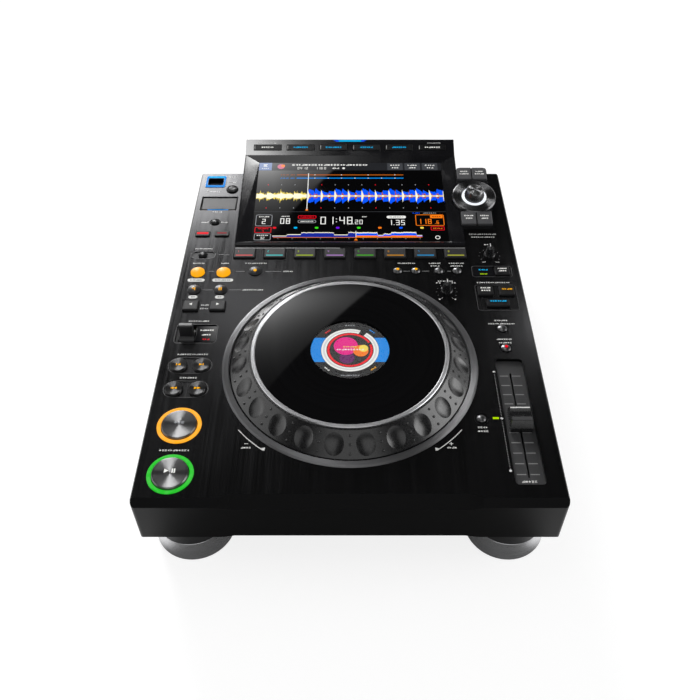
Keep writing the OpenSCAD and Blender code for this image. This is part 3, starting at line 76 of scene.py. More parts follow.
class Graph:
    """Adds the nodes of one material, world or node group, and joins them."""

    def __init__(self, tree: bpy.types.NodeTree) -> None:
        """Starts on a node tree."""
        self.tree = tree

    @classmethod
    def fresh(cls, owner: bpy.types.Material | bpy.types.World) -> "Graph":
        """Empties a material's or world's nodes.

        Args:
            owner: the material or world.

        Returns:
            A graph on its node tree.
        """
        owner.use_nodes = True
        owner.node_tree.nodes.clear()
        return cls(owner.node_tree)

    def node(self, kind: str, inputs: dict[Any, Any] | None = None, **settings: Any
             ) -> bpy.types.Node:
        """Adds a node.

        Args:
            kind: Blender's name of the node type, without ShaderNode before it.
            inputs: values or outputs for its inputs, by name or number.
            settings: values of the node's own properties.

        Returns:
            The new node.
        """
        made = self.tree.nodes.new("ShaderNode" + kind)
        for key, value in settings.items():
            setattr(made, key, value)
        for key, value in (inputs or {}).items():
            self.feed(made.inputs[key], value)
        return made

    def feed(self, socket: Socket, value: Any) -> None:
        """Joins an input to another node's output, or sets the input's own value.

        Args:
            socket: the input.
            value: an output, a number, a vector or a colour.
        """
        if isinstance(value, Socket):
            self.tree.links.new(value, socket)
        elif hasattr(socket.default_value, "__len__") and len(socket.default_value) == 4:
            socket.default_value = (*value, 1.0) if len(value) == 3 else value
        else:
            socket.default_value = value

    def math(self, operation: str, *values: Any) -> Socket:
        """Result of a Math node on one to three values."""
        return self.node("Math", dict(enumerate(values)), operation=operation).outputs[0]

    def add(self, first: Any, second: Any) -> Socket:
        """Sum of two values."""
        return self.math("ADD", first, second)

    def times(self, first: Any, second: Any) -> Socket:
        """Product of two values."""
        return self.math("MULTIPLY", first, second)

    def vector(self, operation: str, *values: Any) -> Socket:
        """Result of a Vector Math node: a number for a length or dot product, else a vector."""
        made = self.node("VectorMath", dict(enumerate(values)), operation=operation)
        return made.outputs["Value" if operation in ("LENGTH", "DOT_PRODUCT") else "Vector"]

    def spread(self, value: Any, low: float, high: float, to_low: Any = 0.0, to_high: Any = 1.0
               ) -> Socket:
        """Value carried smoothly from the range low to high into another range, and held there."""
        given = dict(enumerate((value, low, high, to_low, to_high)))
        return self.node("MapRange", given, interpolation_type="SMOOTHSTEP").outputs[0]

    def mix(self, share: Any, first: Any, second: Any) -> Socket:
        """Colour between two colours, by a share from 0 to 1."""
        return self.node("Mix", {0: share, 6: first, 7: second}, data_type="RGBA").outputs[2]

    def blend(self, share: Any, first: Any, second: Any) -> Socket:
        """Number between two numbers, by a share from 0 to 1."""
        return self.node("Mix", {0: share, 2: first, 3: second}).outputs[0]

    def noise(self, vector: Any, scale: Any, detail: float = 2.0) -> Socket:
        """Soft noise from 0 to 1 over a vector."""
        given = {"Vector": vector, "Scale": scale, "Detail": detail}
        return self.node("TexNoise", given).outputs["Fac"]

    def place(self) -> Socket:
        """Object coordinates: the point's place in the frame of the solids, in metres."""
        return self.node("TexCoord").outputs["Object"]

    def parts(self, vector: Any) -> Sequence[Socket]:
        """The x, y and z of a vector."""
        return list(self.node("SeparateXYZ", {0: vector}).outputs)

    def bump(self, height: Any, strength: float, distance: float) -> Socket:
        """Normal bent by a height from 0 to 1 that stands for a distance in metres."""
        given = {"Height": height, "Strength": strength, "Distance": distance}
        return self.node("Bump", given).outputs["Normal"]

    def effect(self, effect: "Effect", **values: Any) -> Sequence[Socket]:
        """Outputs of a shared effect, placed with its own values for the group's inputs."""
        return self.node("Group", values, node_tree=effect_tree(effect)).outputs


class Effect(Enum):
    """Surface effects that several finishes share."""

    GRAIN = "fine grain of moulded plastic"
    STREAKS = "lines of brushing along Y"
    CIRCLES = "turning marks round an axis"
    SMUDGES = "soft wipe marks"
    DUST = "sparse specks"


def effect_tree(effect: Effect) -> bpy.types.NodeTree:
    """Node group of an effect, built the first time it is asked for.

    Args:
        effect: which effect.

    Returns:
        The group. All groups read the input Vector, in metres, and put out Value from 0 to 1.
    """
    if effect.value in bpy.data.node_groups:
        return bpy.data.node_groups[effect.value]
    tree = bpy.data.node_groups.new(effect.value, "ShaderNodeTree")
    inputs = {
        Effect.GRAIN: {"Scale": 1800.0},
        Effect.STREAKS: {"Across": 2600.0, "Along": 14.0},
        Effect.CIRCLES: {"Pitch": 2500.0, "Axis": (0.0, 0.0, 1.0)},
        Effect.SMUDGES: {"Scale": 18.0},
        Effect.DUST: {"Scale": 700.0, "Amount": 0.1},
    }[effect]
    tree.interface.new_socket("Vector", in_out="INPUT", socket_type="NodeSocketVector")
    for name, value in inputs.items():
        kind = "NodeSocketVector" if isinstance(value, tuple) else "NodeSocketFloat"
        tree.interface.new_socket(name, in_out="INPUT", socket_type=kind).default_value = value
    tree.interface.new_socket("Value", in_out="OUTPUT", socket_type="NodeSocketFloat")
    graph = Graph(tree)
    given = tree.nodes.new("NodeGroupInput").outputs
    out = tree.nodes.new("NodeGroupOutput")
    vector = given["Vector"]
    if effect is Effect.GRAIN:
        cells = graph.node("TexVoronoi", {"Vector": vector, "Scale": given["Scale"]},
                           feature="SMOOTH_F1").outputs["Distance"]
        soft = graph.noise(vector, graph.times(given["Scale"], 0.31), 3.0)
        value = graph.add(graph.times(cells, 0.6), graph.times(soft, 0.5))
    elif effect is Effect.STREAKS:
        scales = (given["Across"], given["Along"], given["Across"])
        drawn = graph.node("CombineXYZ", {i: graph.times(part, scale) for i, (part, scale) in
                                          enumerate(zip(graph.parts(vector), scales))}).outputs[0]
        value = graph.add(graph.times(graph.noise(drawn, 1.0, 3.0), 0.7),
                          graph.times(graph.noise(drawn, 0.13, 1.0), 0.3))
    elif effect is Effect.CIRCLES:
        tree.interface.new_socket("Groove", in_out="OUTPUT", socket_type="NodeSocketVector")
        around = graph.vector("CROSS_PRODUCT", given["Axis"], vector)
        radius = graph.vector("LENGTH", around)
        along = graph.vector("DOT_PRODUCT", given["Axis"], vector)
        where = graph.node("CombineXYZ", {0: graph.times(radius, given["Pitch"]),
                                          1: graph.times(along, given["Pitch"])})
        value = graph.noise(where.outputs[0], 1.0, 2.0)
        graph.feed(out.inputs["Groove"], graph.vector("NORMALIZE", around))
    elif effect is Effect.SMUDGES:
        value = graph.spread(graph.noise(vector, given["Scale"], 4.0), 0.42, 0.68)
    else:
        specks = graph.node("TexVoronoi", {"Vector": vector, "Scale": given["Scale"]}, feature="F1")
        value = graph.spread(specks.outputs["Distance"], given["Amount"], 0.0, 0.0, 1.0)
    graph.feed(out.inputs["Value"], value)
    return tree


# ---- finishes ----------------------------------------------------------------------------------


@dataclass(frozen=True)
class Finish:
    """A surface: what all finishes share."""

    name: str
    color: Color = (0.02, 0.02, 0.02)
    rough: float = 0.5
    metallic: float = 0.0
    specular: float = 0.5

    def material(self) -> bpy.types.Material:
        """Builds the finish's material the first time it is asked for.

        Returns:
            The material.
        """
        if self.name in bpy.data.materials:
            return bpy.data.materials[self.name]
        made = bpy.data.materials.new(self.name)
        graph = Graph.fresh(made)
        shader = graph.node("BsdfPrincipled", {"Metallic": self.metallic,
                                               "Specular IOR Level": self.specular})
        graph.node("OutputMaterial", {"Surface": shader.outputs["BSDF"]})
        self.detail(graph, shader.inputs)
        return made

    def detail(self, graph: Graph, sockets: Any) -> None:
        """Colours the shader, with a fine variation of its roughness."""
        grain = graph.effect(Effect.GRAIN, Vector=graph.place(), Scale=1500.0)[0]
        self.vary(graph, sockets, grain, 0.1, 0.05)

    def vary(self, graph: Graph, sockets: Any, value: Any, tone: float, gloss: float) -> None:
        """Lets a value from 0 to 1 lighten the colour and roughen the surface.

        Args:
            graph: the material's graph.
            sockets: the shader's inputs.
            value: the varying value.
            tone: share by which the colour moves.
            gloss: amount by which the roughness moves.
        """
        shade = graph.mix(value, self.shade(1 - tone), self.shade(1 + tone))
        graph.feed(sockets["Base Color"], shade)
        graph.feed(sockets["Roughness"],
                   graph.spread(value, 0.2, 0.8, self.rough - gloss, self.rough + gloss))

    def shade(self, share: float) -> Color:
        """The finish's colour times a share."""
        return tuple(min(1.0, c * share) for c in self.color)


@dataclass(frozen=True)
class Moulded(Finish):
    """Moulded plastic, rubber or powder coat, with a fine grain."""

    scale: float = 1800.0
    depth: float = 0.25

    def detail(self, graph: Graph, sockets: Any) -> None:
        """Grain in tone, roughness and bump, with a trace of dust.

        Args:
            graph: the material's graph.
            sockets: the shader's inputs.
        """
        place = graph.place()
        grain = graph.effect(Effect.GRAIN, Vector=place, Scale=self.scale)[0]
        dust = graph.effect(Effect.DUST, Vector=place, Scale=420.0, Amount=0.05)[0]
        self.vary(graph, sockets, graph.add(grain, graph.times(dust, 0.4)), 0.16, 0.06)
        graph.feed(sockets["Normal"], graph.bump(grain, self.depth, 0.00005))


@dataclass(frozen=True)
class BrushedDeck(Finish):
    """Black metal deck brushed along Y on its flat top, and finely blasted on its other faces."""

    top: float = 92.6
    side_rough: float = 0.5
    side_tone: float = 0.25

    def detail(self, graph: Graph, sockets: Any) -> None:
        """Brushing where the surface is at deck height and faces up, grain elsewhere.

        Args:
            graph: the material's graph.
            sockets: the shader's inputs.
        """
        place = graph.place()
        streaks = graph.effect(Effect.STREAKS, Vector=place)[0]
        grain = graph.effect(Effect.GRAIN, Vector=place, Scale=2200.0)[0]
        smudges = graph.effect(Effect.SMUDGES, Vector=place, Scale=9.0)[0]
        normal = graph.node("NewGeometry").outputs["Normal"]
        up = graph.spread(graph.parts(normal)[2], 0.9, 0.99)
        high = graph.spread(graph.parts(place)[2], (self.top - 0.3) * MM, self.top * MM)
        flat = graph.times(up, high)
        top = graph.mix(streaks, self.shade(0.6), self.shade(1.5))
        side = graph.mix(grain, self.shade(self.side_tone * 0.8), self.shade(self.side_tone * 1.2))
        graph.feed(sockets["Base Color"], graph.mix(flat, side, top))
        rough = graph.spread(graph.add(streaks, graph.times(smudges, 0.12)),
                             0.25, 0.8, self.rough - 0.06, self.rough + 0.06)
        graph.feed(sockets["Roughness"], graph.blend(flat, self.side_rough, rough))
        height = graph.add(graph.times(streaks, flat),
                           graph.times(grain, graph.math("SUBTRACT", 1.0, flat)))
        graph.feed(sockets["Normal"], graph.bump(height, 0.08, 0.00004))


@dataclass(frozen=True)
class Spun(Finish):
    """Metal or lacquer turned round an axis, whose fine circles draw a highlight out across them.

    Where cells is given, four axes stand at plus and minus its x and y from the centre.
    """

    centre: Point = (0.0, 0.0, 0.0)
    axis: Point = (0.0, 0.0, 1.0)
    pitch: float = 3500.0
    stretch: float = 0.7
    depth: float = 0.02
    tone: float = 0.25
    cells: Flat = (0.0, 0.0)

    def detail(self, graph: Graph, sockets: Any) -> None:
        """Turning marks in tone, roughness and bump; the highlight spreads across them.

        Args:
            graph: the material's graph.
            sockets: the shader's inputs.
        """
        vector = graph.vector("SUBTRACT", graph.place(), tuple(c * MM for c in self.centre))
        if self.cells[0]:
            folded = graph.vector("SUBTRACT", graph.vector("ABSOLUTE", vector),
                                  (self.cells[0] * MM, self.cells[1] * MM, 0.0))
            vector = graph.vector("MULTIPLY", folded, graph.vector("SIGN", vector))
        marks, groove = graph.effect(Effect.CIRCLES, Vector=vector, Pitch=self.pitch,
                                     Axis=self.axis)
        self.vary(graph, sockets, marks, self.tone, min(0.06, self.rough * 0.2))
        sockets["Anisotropic"].default_value = self.stretch
        turned = graph.node("VectorTransform", {0: groove}, vector_type="VECTOR",
                            convert_from="OBJECT", convert_to="WORLD")
        normal = graph.node("NewGeometry").outputs["Normal"]
        graph.feed(sockets["Tangent"], graph.vector("CROSS_PRODUCT", normal, turned.outputs[0]))
        graph.feed(sockets["Normal"], graph.bump(marks, self.depth, 0.00003))


@dataclass(frozen=True)
class Polished(Finish):
    """Glossy glass, acrylic or lacquer, with soft wipe marks in its gloss."""

    def detail(self, graph: Graph, sockets: Any) -> None:
        """Wipe marks and a few specks of dust.

        Args:
            graph: the material's graph.
            sockets: the shader's inputs.
        """
        place = graph.place()
        smudges = graph.effect(Effect.SMUDGES, Vector=place, Scale=22.0)[0]
        dust = graph.effect(Effect.DUST, Vector=place, Scale=300.0, Amount=0.03)[0]
        self.vary(graph, sockets, graph.add(graph.times(smudges, 0.7), graph.times(dust, 0.3)),
                  0.2, min(0.03, self.rough * 0.5))


@dataclass(frozen=True)
class ClearWindow(Finish):
    """Clear acrylic that shows what lies under it."""

    def detail(self, graph: Graph, sockets: Any) -> None:
        """Full transmission, with wipe marks in the roughness.

        Args:
            graph: the material's graph.
            sockets: the shader's inputs.
        """
        smudges = graph.effect(Effect.SMUDGES, Vector=graph.place(), Scale=30.0)[0]
        self.vary(graph, sockets, smudges, 0.02, 0.01)
        sockets["Transmission Weight"].default_value = 1.0
        sockets["IOR"].default_value = 1.49


@dataclass(frozen=True)
class Lit(Finish):
    """A surface lit from behind: a little uneven, as light pipes and screens are."""

    glow: float = 1.0
    unevenness: float = 0.12
    scale: float = 160.0

    def detail(self, graph: Graph, sockets: Any) -> None:
        """Emission of the finish's colour over a dark gloss.

        Args:
            graph: the material's graph.
            sockets: the shader's inputs.
        """
        cloud = graph.noise(graph.place(), self.scale, 1.0)
        lit = graph.mix(cloud, self.shade(1 - self.unevenness), self.color)
        graph.feed(sockets["Emission Color"], lit)
        graph.feed(sockets["Base Color"], graph.mix(cloud, self.shade(0.1), self.shade(0.16)))
        sockets["Emission Strength"].default_value = self.glow
        sockets["Roughness"].default_value = self.rough


@dataclass(frozen=True)
class LightRings(Finish):
    """Frosted light pipes lit green round play, amber round cue and white round the selector."""

    bands: tuple[tuple[float, Color], ...] = ()
    glow: float = 1.0

    def detail(self, graph: Graph, sockets: Any) -> None:
        """Picks the colour by how far back the ring lies; a band is (its front y, colour).

        Args:
            graph: the material's graph.
            sockets: the shader's inputs.
        """
        place = graph.place()
        y = graph.parts(place)[1]
        picked: Any = self.bands[0][1]
        for start, shade in self.bands[1:]:
            picked = graph.mix(graph.math("GREATER_THAN", y, start * MM), picked, shade)
        cloud = graph.noise(place, 220.0, 1.0)
        shown = graph.mix(graph.spread(cloud, 0.3, 0.7, 0.0, 0.04), picked, (1.0, 1.0, 0.9))
        graph.feed(sockets["Emission Color"], shown)
        graph.feed(sockets["Base Color"], graph.mix(0.8, picked, (0.02, 0.02, 0.02)))
        sockets["Emission Strength"].default_value = self.glow
        sockets["Roughness"].default_value = self.rough


# ---- surfaces to lay marks on, and flat shapes -------------------------------------------------


@dataclass(frozen=True)
class Surface:
    """A flat or round-topped face: marks are given in millimetres from its origin."""

    origin: Point = (0.0, 0.0, DECK_TOP)
    right: Point = (1.0, 0.0, 0.0)
    up: Point = (0.0, 1.0, 0.0)
    bulge: float = 0.0

    def points(self, flat: Outline, lift: float) -> np.ndarray:
        """Carries flat points onto the face.

        A point goes to origin + x·right + y·up + h·normal. h is the lift, less the drop of a sphere
        of radius bulge where there is one: R - sqrt(R² - x² - y²), upwards for a negative radius.

        Args:
            flat: points (n, 2) in millimetres.
            lift: height over the face.

        Returns:
            Points (n, 3) in metres.
        """
        right, up = np.array(self.right), np.array(self.up)
        normal = np.cross(right, up)
        height = np.full(len(flat), lift)
        if self.bulge:
            ball = abs(self.bulge)
            drop = ball - np.sqrt(ball**2 - np.minimum((flat**2).sum(1), 0.9 * ball**2))
            height = height - math.copysign(1.0, self.bulge) * drop
        placed = (np.array(self.origin) + flat[:, :1] * right + flat[:, 1:] * up
                  + height[:, None] * normal)
        return placed * MM


def level(height: float) -> Surface:
    """Level face at a height, whose origin stands over that of the frame."""
    return Surface((0.0, 0.0, height))


def tilted(origin: Point, degrees: float) -> Surface:
    """Face whose rear edge is raised by an angle."""
    turn = math.radians(degrees)
    return Surface(origin, (1.0, 0.0, 0.0), (0.0, math.cos(turn), math.sin(turn)))


def outline(points: Iterable[Flat]) -> Outline:
    """Orders the corners of a closed shape.

    Args:
        points: its corners, either way round.

    Returns:
        The same corners as an array that runs anticlockwise, found by the sign of the area
        sum of x·y' - y·x'.
    """
    made = np.array(list(points), float)
    x, y = made.T
    area = (x * np.roll(y, -1) - y * np.roll(x, -1)).sum()
    return made if area > 0 else made[::-1].copy()


def mirrored(shape: Outline) -> Outlines:
    """A shape and its mirror image across the middle line."""
    return [outline(shape * (side, 1)) for side in (1, -1)]


def plate(width: float, length: float, corner: float = 0.0, at: Flat = (0.0, 0.0)) -> Outline:
    """Rectangle with rounded corners: quarter circles round the four corner centres.

    Args:
        width: its size across.
        length: its size along.
        corner: radius of its corners; 0 for square ones.
        at: its middle.

    Returns:
        The outline.
    """
    if corner <= 0:
        ends = [(-1, -1), (1, -1), (1, 1), (-1, 1)]
        return outline((at[0] + a * width / 2, at[1] + b * length / 2) for a, b in ends)
    turn = np.radians(np.arange(0, 91, 22.5))
    turns = np.concatenate([turn + q * math.pi / 2 for q in range(4)])
    signs = np.repeat([(1, 1), (-1, 1), (-1, -1), (1, -1)], len(turn), axis=0)
    corners = signs * (width / 2 - corner, length / 2 - corner)
    return np.stack([np.cos(turns), np.sin(turns)], 1) * corner + corners + at


def disc(radius: float, at: Flat = (0.0, 0.0), sides: int = 28) -> Outline:
    """Circle: radius times (cos, sin) of evenly spaced angles."""
    turn = np.linspace(0, FULL_TURN, sides, endpoint=False)
    return np.stack([np.cos(turn), np.sin(turn)], 1) * radius + at


def arc(inner: float, outer: float, start: float, end: float, at: Flat = (0.0, 0.0),
        step: float = 4.0) -> Outline:
    """Part of a ring between two angles: out along one radius, back along the other.

    Args:
        inner: inner radius.
        outer: outer radius.
        start: first angle, in degrees.
        end: last angle.
        at: centre of the ring.
        step: about how many degrees apart the points are.

    Returns:
        The outline.
    """
    turn = np.radians(np.linspace(start, end, max(3, int(abs(end - start) / step) + 1)))
    rim = np.stack([np.cos(turn), np.sin(turn)], 1)
    return outline(np.concatenate([rim * outer, rim[::-1] * inner]) + at)


def ring(inner: float, outer: float, at: Flat = (0.0, 0.0)) -> Outlines:
    """Whole ring, in two halves that meet."""
    return [arc(inner, outer, 0, 180, at), arc(inner, outer, 180, 360, at)]


def line(start: Flat, end: Flat, width: float) -> Outline:
    """Straight stroke: a segment widened by half the width to both sides.

    Args:
        start: one end.
        end: the other end.
        width: the stroke's width.

    Returns:
        The outline.
    """
    a, b = np.array(start, float), np.array(end, float)
    along = (b - a) / np.hypot(*(b - a))
    side = np.array([-along[1], along[0]]) * width / 2
    return outline([a - side, b - side, b + side, a + side])


def bar(left: float, low: float, right: float, high: float) -> Table:
    """Corners of a rectangle between two of its corners."""
    return ((left, low), (right, low), (right, high), (left, high))


class Mark(Enum):
    """Pictograms, as shapes in a square one unit across round the origin."""

    PLAY = (((-0.4, -0.5), (0.45, 0.0), (-0.4, 0.5)),)
    PAUSE = (bar(-0.35, -0.5, -0.08, 0.5), bar(0.08, -0.5, 0.35, 0.5))
    LEFT = (((0.4, -0.5), (0.4, 0.5), (-0.45, 0.0)),)
    FAST_LEFT = (((0.02, -0.42), (0.02, 0.42), (-0.62, 0.0)),
                 ((0.62, -0.42), (0.62, 0.42), (0.02, 0.0)))
    FAST_RIGHT = (((-0.02, -0.42), (0.62, 0.0), (-0.02, 0.42)),
                  ((-0.62, -0.42), (-0.02, 0.0), (-0.62, 0.42)))
    SKIP_LEFT = (((0.45, -0.42), (0.45, 0.42), (-0.2, 0.0)), bar(-0.42, -0.42, -0.26, 0.42))
    SKIP_RIGHT = (((-0.45, -0.42), (0.2, 0.0), (-0.45, 0.42)), bar(0.26, -0.42, 0.42, 0.42))
    DIAMOND = (((0.0, -0.5), (0.5, 0.0), (0.0, 0.5), (-0.5, 0.0)),)
    MINUS = (bar(-0.5, -0.1, 0.5, 0.1),)
    PLUS = (bar(-0.5, -0.1, 0.5, 0.1), bar(-0.1, 0.1, 0.1, 0.5), bar(-0.1, -0.5, 0.1, -0.1))
    BARS = (bar(-0.5, 0.25, 0.5, 0.45), bar(-0.5, -0.1, 0.3, 0.1), bar(-0.5, -0.45, 0.5, -0.25))
    STEPS = (bar(-0.5, -0.5, -0.25, 0.0), bar(-0.12, -0.5, 0.12, 0.25), bar(0.25, -0.5, 0.5, 0.5))
    BLOCK = (bar(-0.5, -0.35, 0.5, 0.35),)

    def shapes(self, size: float, at: Flat = (0.0, 0.0)) -> Outlines:
        """The pictogram at a size in millimetres and a place."""
        return [outline(points) * size + at for points in self.value]


ROW_MARKS = (Mark.BLOCK, Mark.PLAY, Mark.BARS, Mark.DIAMOND, Mark.STEPS, Mark.LEFT, Mark.PAUSE)


def row(width: float, height: float, at: Flat, start: int = 0) -> Outlines:
    """Row of small pictograms that takes the width of a printed caption.

    Args:
        width: length of the row.
        height: height of the row; a pictogram takes 0.86 of it.
        at: middle of the row.
        start: which pictogram comes first.

    Returns:
        The pictograms' shapes.
    """
    count = max(1, round(width / (height * 1.05)))
    xs = (np.arange(count) - (count - 1) / 2) * width / count + at[0]
    marks = (ROW_MARKS[(i * 3 + start) % len(ROW_MARKS)] for i in range(count))
    return [shape for mark, x in zip(marks, xs) for shape in mark.shapes(height * 0.86, (x, at[1]))]


SEGMENTS = ((0.0, 1.0, 0), (1.0, 0.5, 1), (1.0, -0.5, 1), (0.0, -1.0, 0), (-1.0, -0.5, 1),
            (-1.0, 0.5, 1), (0.0, 0.0, 0))
LIT_SEGMENTS = {"0": "012345", "1": "12", "2": "01346", "3": "01236", "4": "1256", "5": "02356",
                "6": "023456", "7": "012", "8": "0123456", "9": "012356"}


def number(text: str, height: float, at: Flat, stroke: float = 0.11) -> Outlines:
    """Digits built of straight strokes, centred on a place; a point or colon takes half a place.

    A segment is (x, y, upright) as shares of half the digit's width and height.

    Args:
        text: digits, points, colons and spaces.
        height: height of a digit.
        at: centre of the number.
        stroke: width of a stroke, as a share of the height.

    Returns:
        The strokes.
    """
    steps = [0.72 if c.isdigit() or c == " " else 0.34 for c in text]
    left = at[0] - sum(steps) * height / 2
    made: Outlines = []
    thick = stroke * height
    for char, step in zip(text, steps):
        middle = left + step * height / 2
        for index in LIT_SEGMENTS.get(char, ""):
            x, y, upright = SEGMENTS[int(index)]
            place = middle + x * (0.25 * height - thick / 2), at[1] + y * (height - thick) / 2
            long = (height - thick) / 2 + thick * 0.9 if upright else 0.5 * height
            made.append(plate(*((thick, long) if upright else (long, thick)), at=place))
        dots = {".": (thick / 2 - 0.5 * height,), ":": (thick / 2 - 0.22 * height, 0.22 * height)}
        made += [plate(thick, thick, at=(middle, at[1] + rise)) for rise in dots.get(char, ())]
        left += step * height
    return made


# ---- pieces ------------------------------------------------------------------------------------


def piece(name: str, vertices: np.ndarray, faces: Sequence[Sequence[int]], finish: Finish,
          body: str, smooth: bool = False) -> None:
    """Makes a mesh piece that rides on a body.

    Args:
        name: the piece's name.
        vertices: points (n, 3) in metres.
        faces: corner numbers of each face, anticlockwise seen from outside.
        finish: its finish.
        body: the body that carries it.
        smooth: whether it is shaded smooth.
    """
    mesh = bpy.data.meshes.new(name)
    mesh.from_pydata(vertices.tolist(), [], [list(map(int, f)) for f in faces])
    mesh.materials.append(finish.material())
    if smooth:
        mesh.polygons.foreach_set("use_smooth", np.ones(len(mesh.polygons), bool))
    made = bpy.data.objects.new(name, mesh)
    bpy.context.scene.collection.objects.link(made)
    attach(made, body)
    LOG.info("%s: %d faces on %s", name, len(faces), body)


def grid_faces(rows: int, columns: int, closed: bool = True) -> np.ndarray:
    """Squares of a grid of points that wraps round from its last row to its first.

    Args:
        rows: number of rows.
        columns: points in a row.
        closed: whether each row closes on itself too.

    Returns:
        Corner numbers (n, 4).
    """
    i = np.arange(rows)[:, None]
    j = np.arange(columns if closed else columns - 1)[None, :]
    i2, j2 = (i + 1) % rows, (j + 1) % columns
    return np.stack([i * columns + j, i * columns + j2, i2 * columns + j2, i2 * columns + j],
                    -1).reshape(-1, 4)


@dataclass
class Stamp:
    """Thin closed plates of one finish that are collected and then made one piece."""

    name: str
    finish: Finish
    body: str = "chassis"
    slot: str | None = None
    vertices: list[np.ndarray] = field(default_factory=list)
    faces: list[list[int]] = field(default_factory=list)
    count: int = 0

    def put(self, shapes: Outline | Outlines, surface: Surface = Surface(), lift: float = 0.06,
            depth: float = 0.1) -> "Stamp":
        """Adds plates: each outline at the lift, its copy lower by the depth, and a wall between.

        Args:
            shapes: one outline or several, in millimetres.
            surface: the face that they lie on.
            lift: height of their tops over the face.
            depth: how far they reach down from there.

        Returns:
            The stamp itself.
        """
        for shape in [shapes] if isinstance(shapes, np.ndarray) else shapes:
            n, k = len(shape), self.count
            self.vertices += [surface.points(shape, lift), surface.points(shape, lift - depth)]
            self.faces += [list(range(k, k + n)), list(range(k + 2 * n - 1, k + n - 1, -1))]
            self.faces += [[k + (i + 1) % n, k + i, k + n + i, k + n + (i + 1) % n]
                           for i in range(n)]
            self.count += 2 * n
        return self

    def band(self, outer: Outline, inner: Outline, surface: Surface = Surface(),
             lift: float = 0.06, depth: float = 0.1, closed: bool = True) -> "Stamp":
        """Adds a plate between two lines of as many points: four rows of points, wrapped round.

        Args:
            outer: line round it, or its upper edge from left to right, in millimetres.
            inner: outline of its opening, or its lower edge.
            surface: the face that it lies on.
            lift: height of its top over the face.
            depth: how far it reaches down from there.
            closed: whether the lines close on themselves; if not, both ends get a wall.

        Returns:
            The stamp itself.
        """
        n, k = len(outer), self.count
        rows = [(outer, lift), (inner, lift), (inner, lift - depth), (outer, lift - depth)]
        self.vertices += [surface.points(shape, z) for shape, z in rows]
        self.faces += (grid_faces(4, n, closed)[:, ::-1] + k).tolist()
        if not closed:
            start = np.arange(4) * n + k
            self.faces += [start.tolist(), (start[::-1] + n - 1).tolist()]
        self.count += 4 * n
        return self

    def build(self) -> None:
        """Makes the collected plates one piece."""
        points = np.concatenate(self.vertices)
        piece(self.name, points, self.faces, self.finish, self.body)


def dress(**finishes: Finish) -> None:
    """Gives solids of the frame their finishes.

    Args:
        finishes: the finish of each solid, by its node's name.
    """
    for node, finish in finishes.items():
        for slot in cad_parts[node].material_slots:
            slot.material = finish.material()
        LOG.info("%s: %s", node, finish.name)


# ---- the player's finishes ---------------------------------------------------------------------

JOG_CENTRE = (0.0, -84.0, 0.0)
POD_CENTRE = (130.2, 136.5, 107.2)
POD_AXIS = (0.0, -0.184, 0.983)

DECK = BrushedDeck("brushed black deck", (0.024, 0.024, 0.025), 0.165, 0.9, 0.25)
PAN = Moulded("pan plastic", rgb(30, 30, 31), 0.6, scale=1300.0)
BLACK_STEEL = Moulded("powder-coated steel", rgb(26, 26, 27), 0.55, scale=2600.0, depth=0.4)
SOCKET_PLASTIC = Moulded("socket plastic", rgb(20, 20, 21), 0.42)
SCREW_STEEL = Finish("blackened screw steel", (0.09, 0.09, 0.092), 0.35, 1.0)
FOOT_ALUMINIUM = Spun("turned aluminium feet", (0.45, 0.45, 0.46), 0.3, 1.0,
                      centre=(0.0, -17.05, 0.0), cells=(130.8, 171.55), pitch=2600.0, tone=0.12)
# Dead matt black: the painted shadow in the card door's gap, and the dark ring round the stop cap.
DEAD_BLACK = Moulded("door gasket foam", rgb(5, 5, 5), 0.85, specular=0.02, scale=900.0)
PAD_RUBBER = Moulded("foot rubber", rgb(24, 24, 24), 0.8, scale=900.0)
HOUSING = Polished("display housing lacquer", (0.006, 0.006, 0.007), 0.12, 0.0, 0.85)
SCREEN_GLASS = Polished("display glass", (0.001, 0.001, 0.0012), 0.03, 0.0, 1.0)
BOARD = Finish("circuit board", (0.01, 0.09, 0.045), 0.4)
SOCKET_METAL = Finish("tinned socket shell", (0.6, 0.6, 0.58), 0.3, 1.0)
CONTACT_GOLD = Finish("gilt contacts", (0.75, 0.52, 0.2), 0.3, 1.0)
WINDOW_BLACK = Polished("smoked window", (0.006, 0.006, 0.007), 0.06, 0.0, 0.6)
LIGHT_PIPES = LightRings("lit ring pipes", rough=0.45, specular=0.06, bands=(
    (-300.0, rgb(8, 180, 22)), (-176.0, rgb(250, 166, 14)), (0.0, rgb(240, 244, 250))))
FADER_PLATE = Moulded("fader tray coat", rgb(40, 40, 41), 0.45, scale=2600.0)
POD = Polished("selector pod lacquer", (0.011, 0.011, 0.012), 0.22, 0.0, 0.7)
SPUN_BLACK = Spun("spun black plate", (0.13, 0.13, 0.133), 0.29, 0.97, centre=POD_CENTRE,
                  axis=POD_AXIS, stretch=1.0, tone=0.2)
SPUN_KNOB = Spun("spun knob face", (0.3, 0.3, 0.304), 0.28, 0.95, centre=POD_CENTRE,
                 axis=POD_AXIS, stretch=1.0, tone=0.15)
RING_METAL = Spun("brushed jog ring", (0.16, 0.16, 0.164), 0.44, 0.8, centre=JOG_CENTRE,
                  stretch=1.0, tone=0.08)
POST_METAL = Finish("turned post steel", (0.45, 0.45, 0.45), 0.3, 1.0)
BEARING_STEEL = Finish("ground bearing steel", (0.6, 0.6, 0.6), 0.18, 1.0)
WHEEL_PLASTIC = Moulded("jog wheel plastic", rgb(13, 13, 14), 0.27, specular=0.55, scale=2400.0,
                        depth=0.08)
PLATE_GLOSS = Spun("grooved gloss plate", (0.0022, 0.0022, 0.0024), 0.02, 0.0, 0.34,
                   centre=JOG_CENTRE, pitch=620.0, stretch=0.0, tone=0.6, depth=0.006)
TRIM_CHROME = Spun("jog trim chrome", (0.42, 0.42, 0.43), 0.3, 0.9, centre=JOG_CENTRE,
                   stretch=0.4, tone=0.03, depth=0.003)
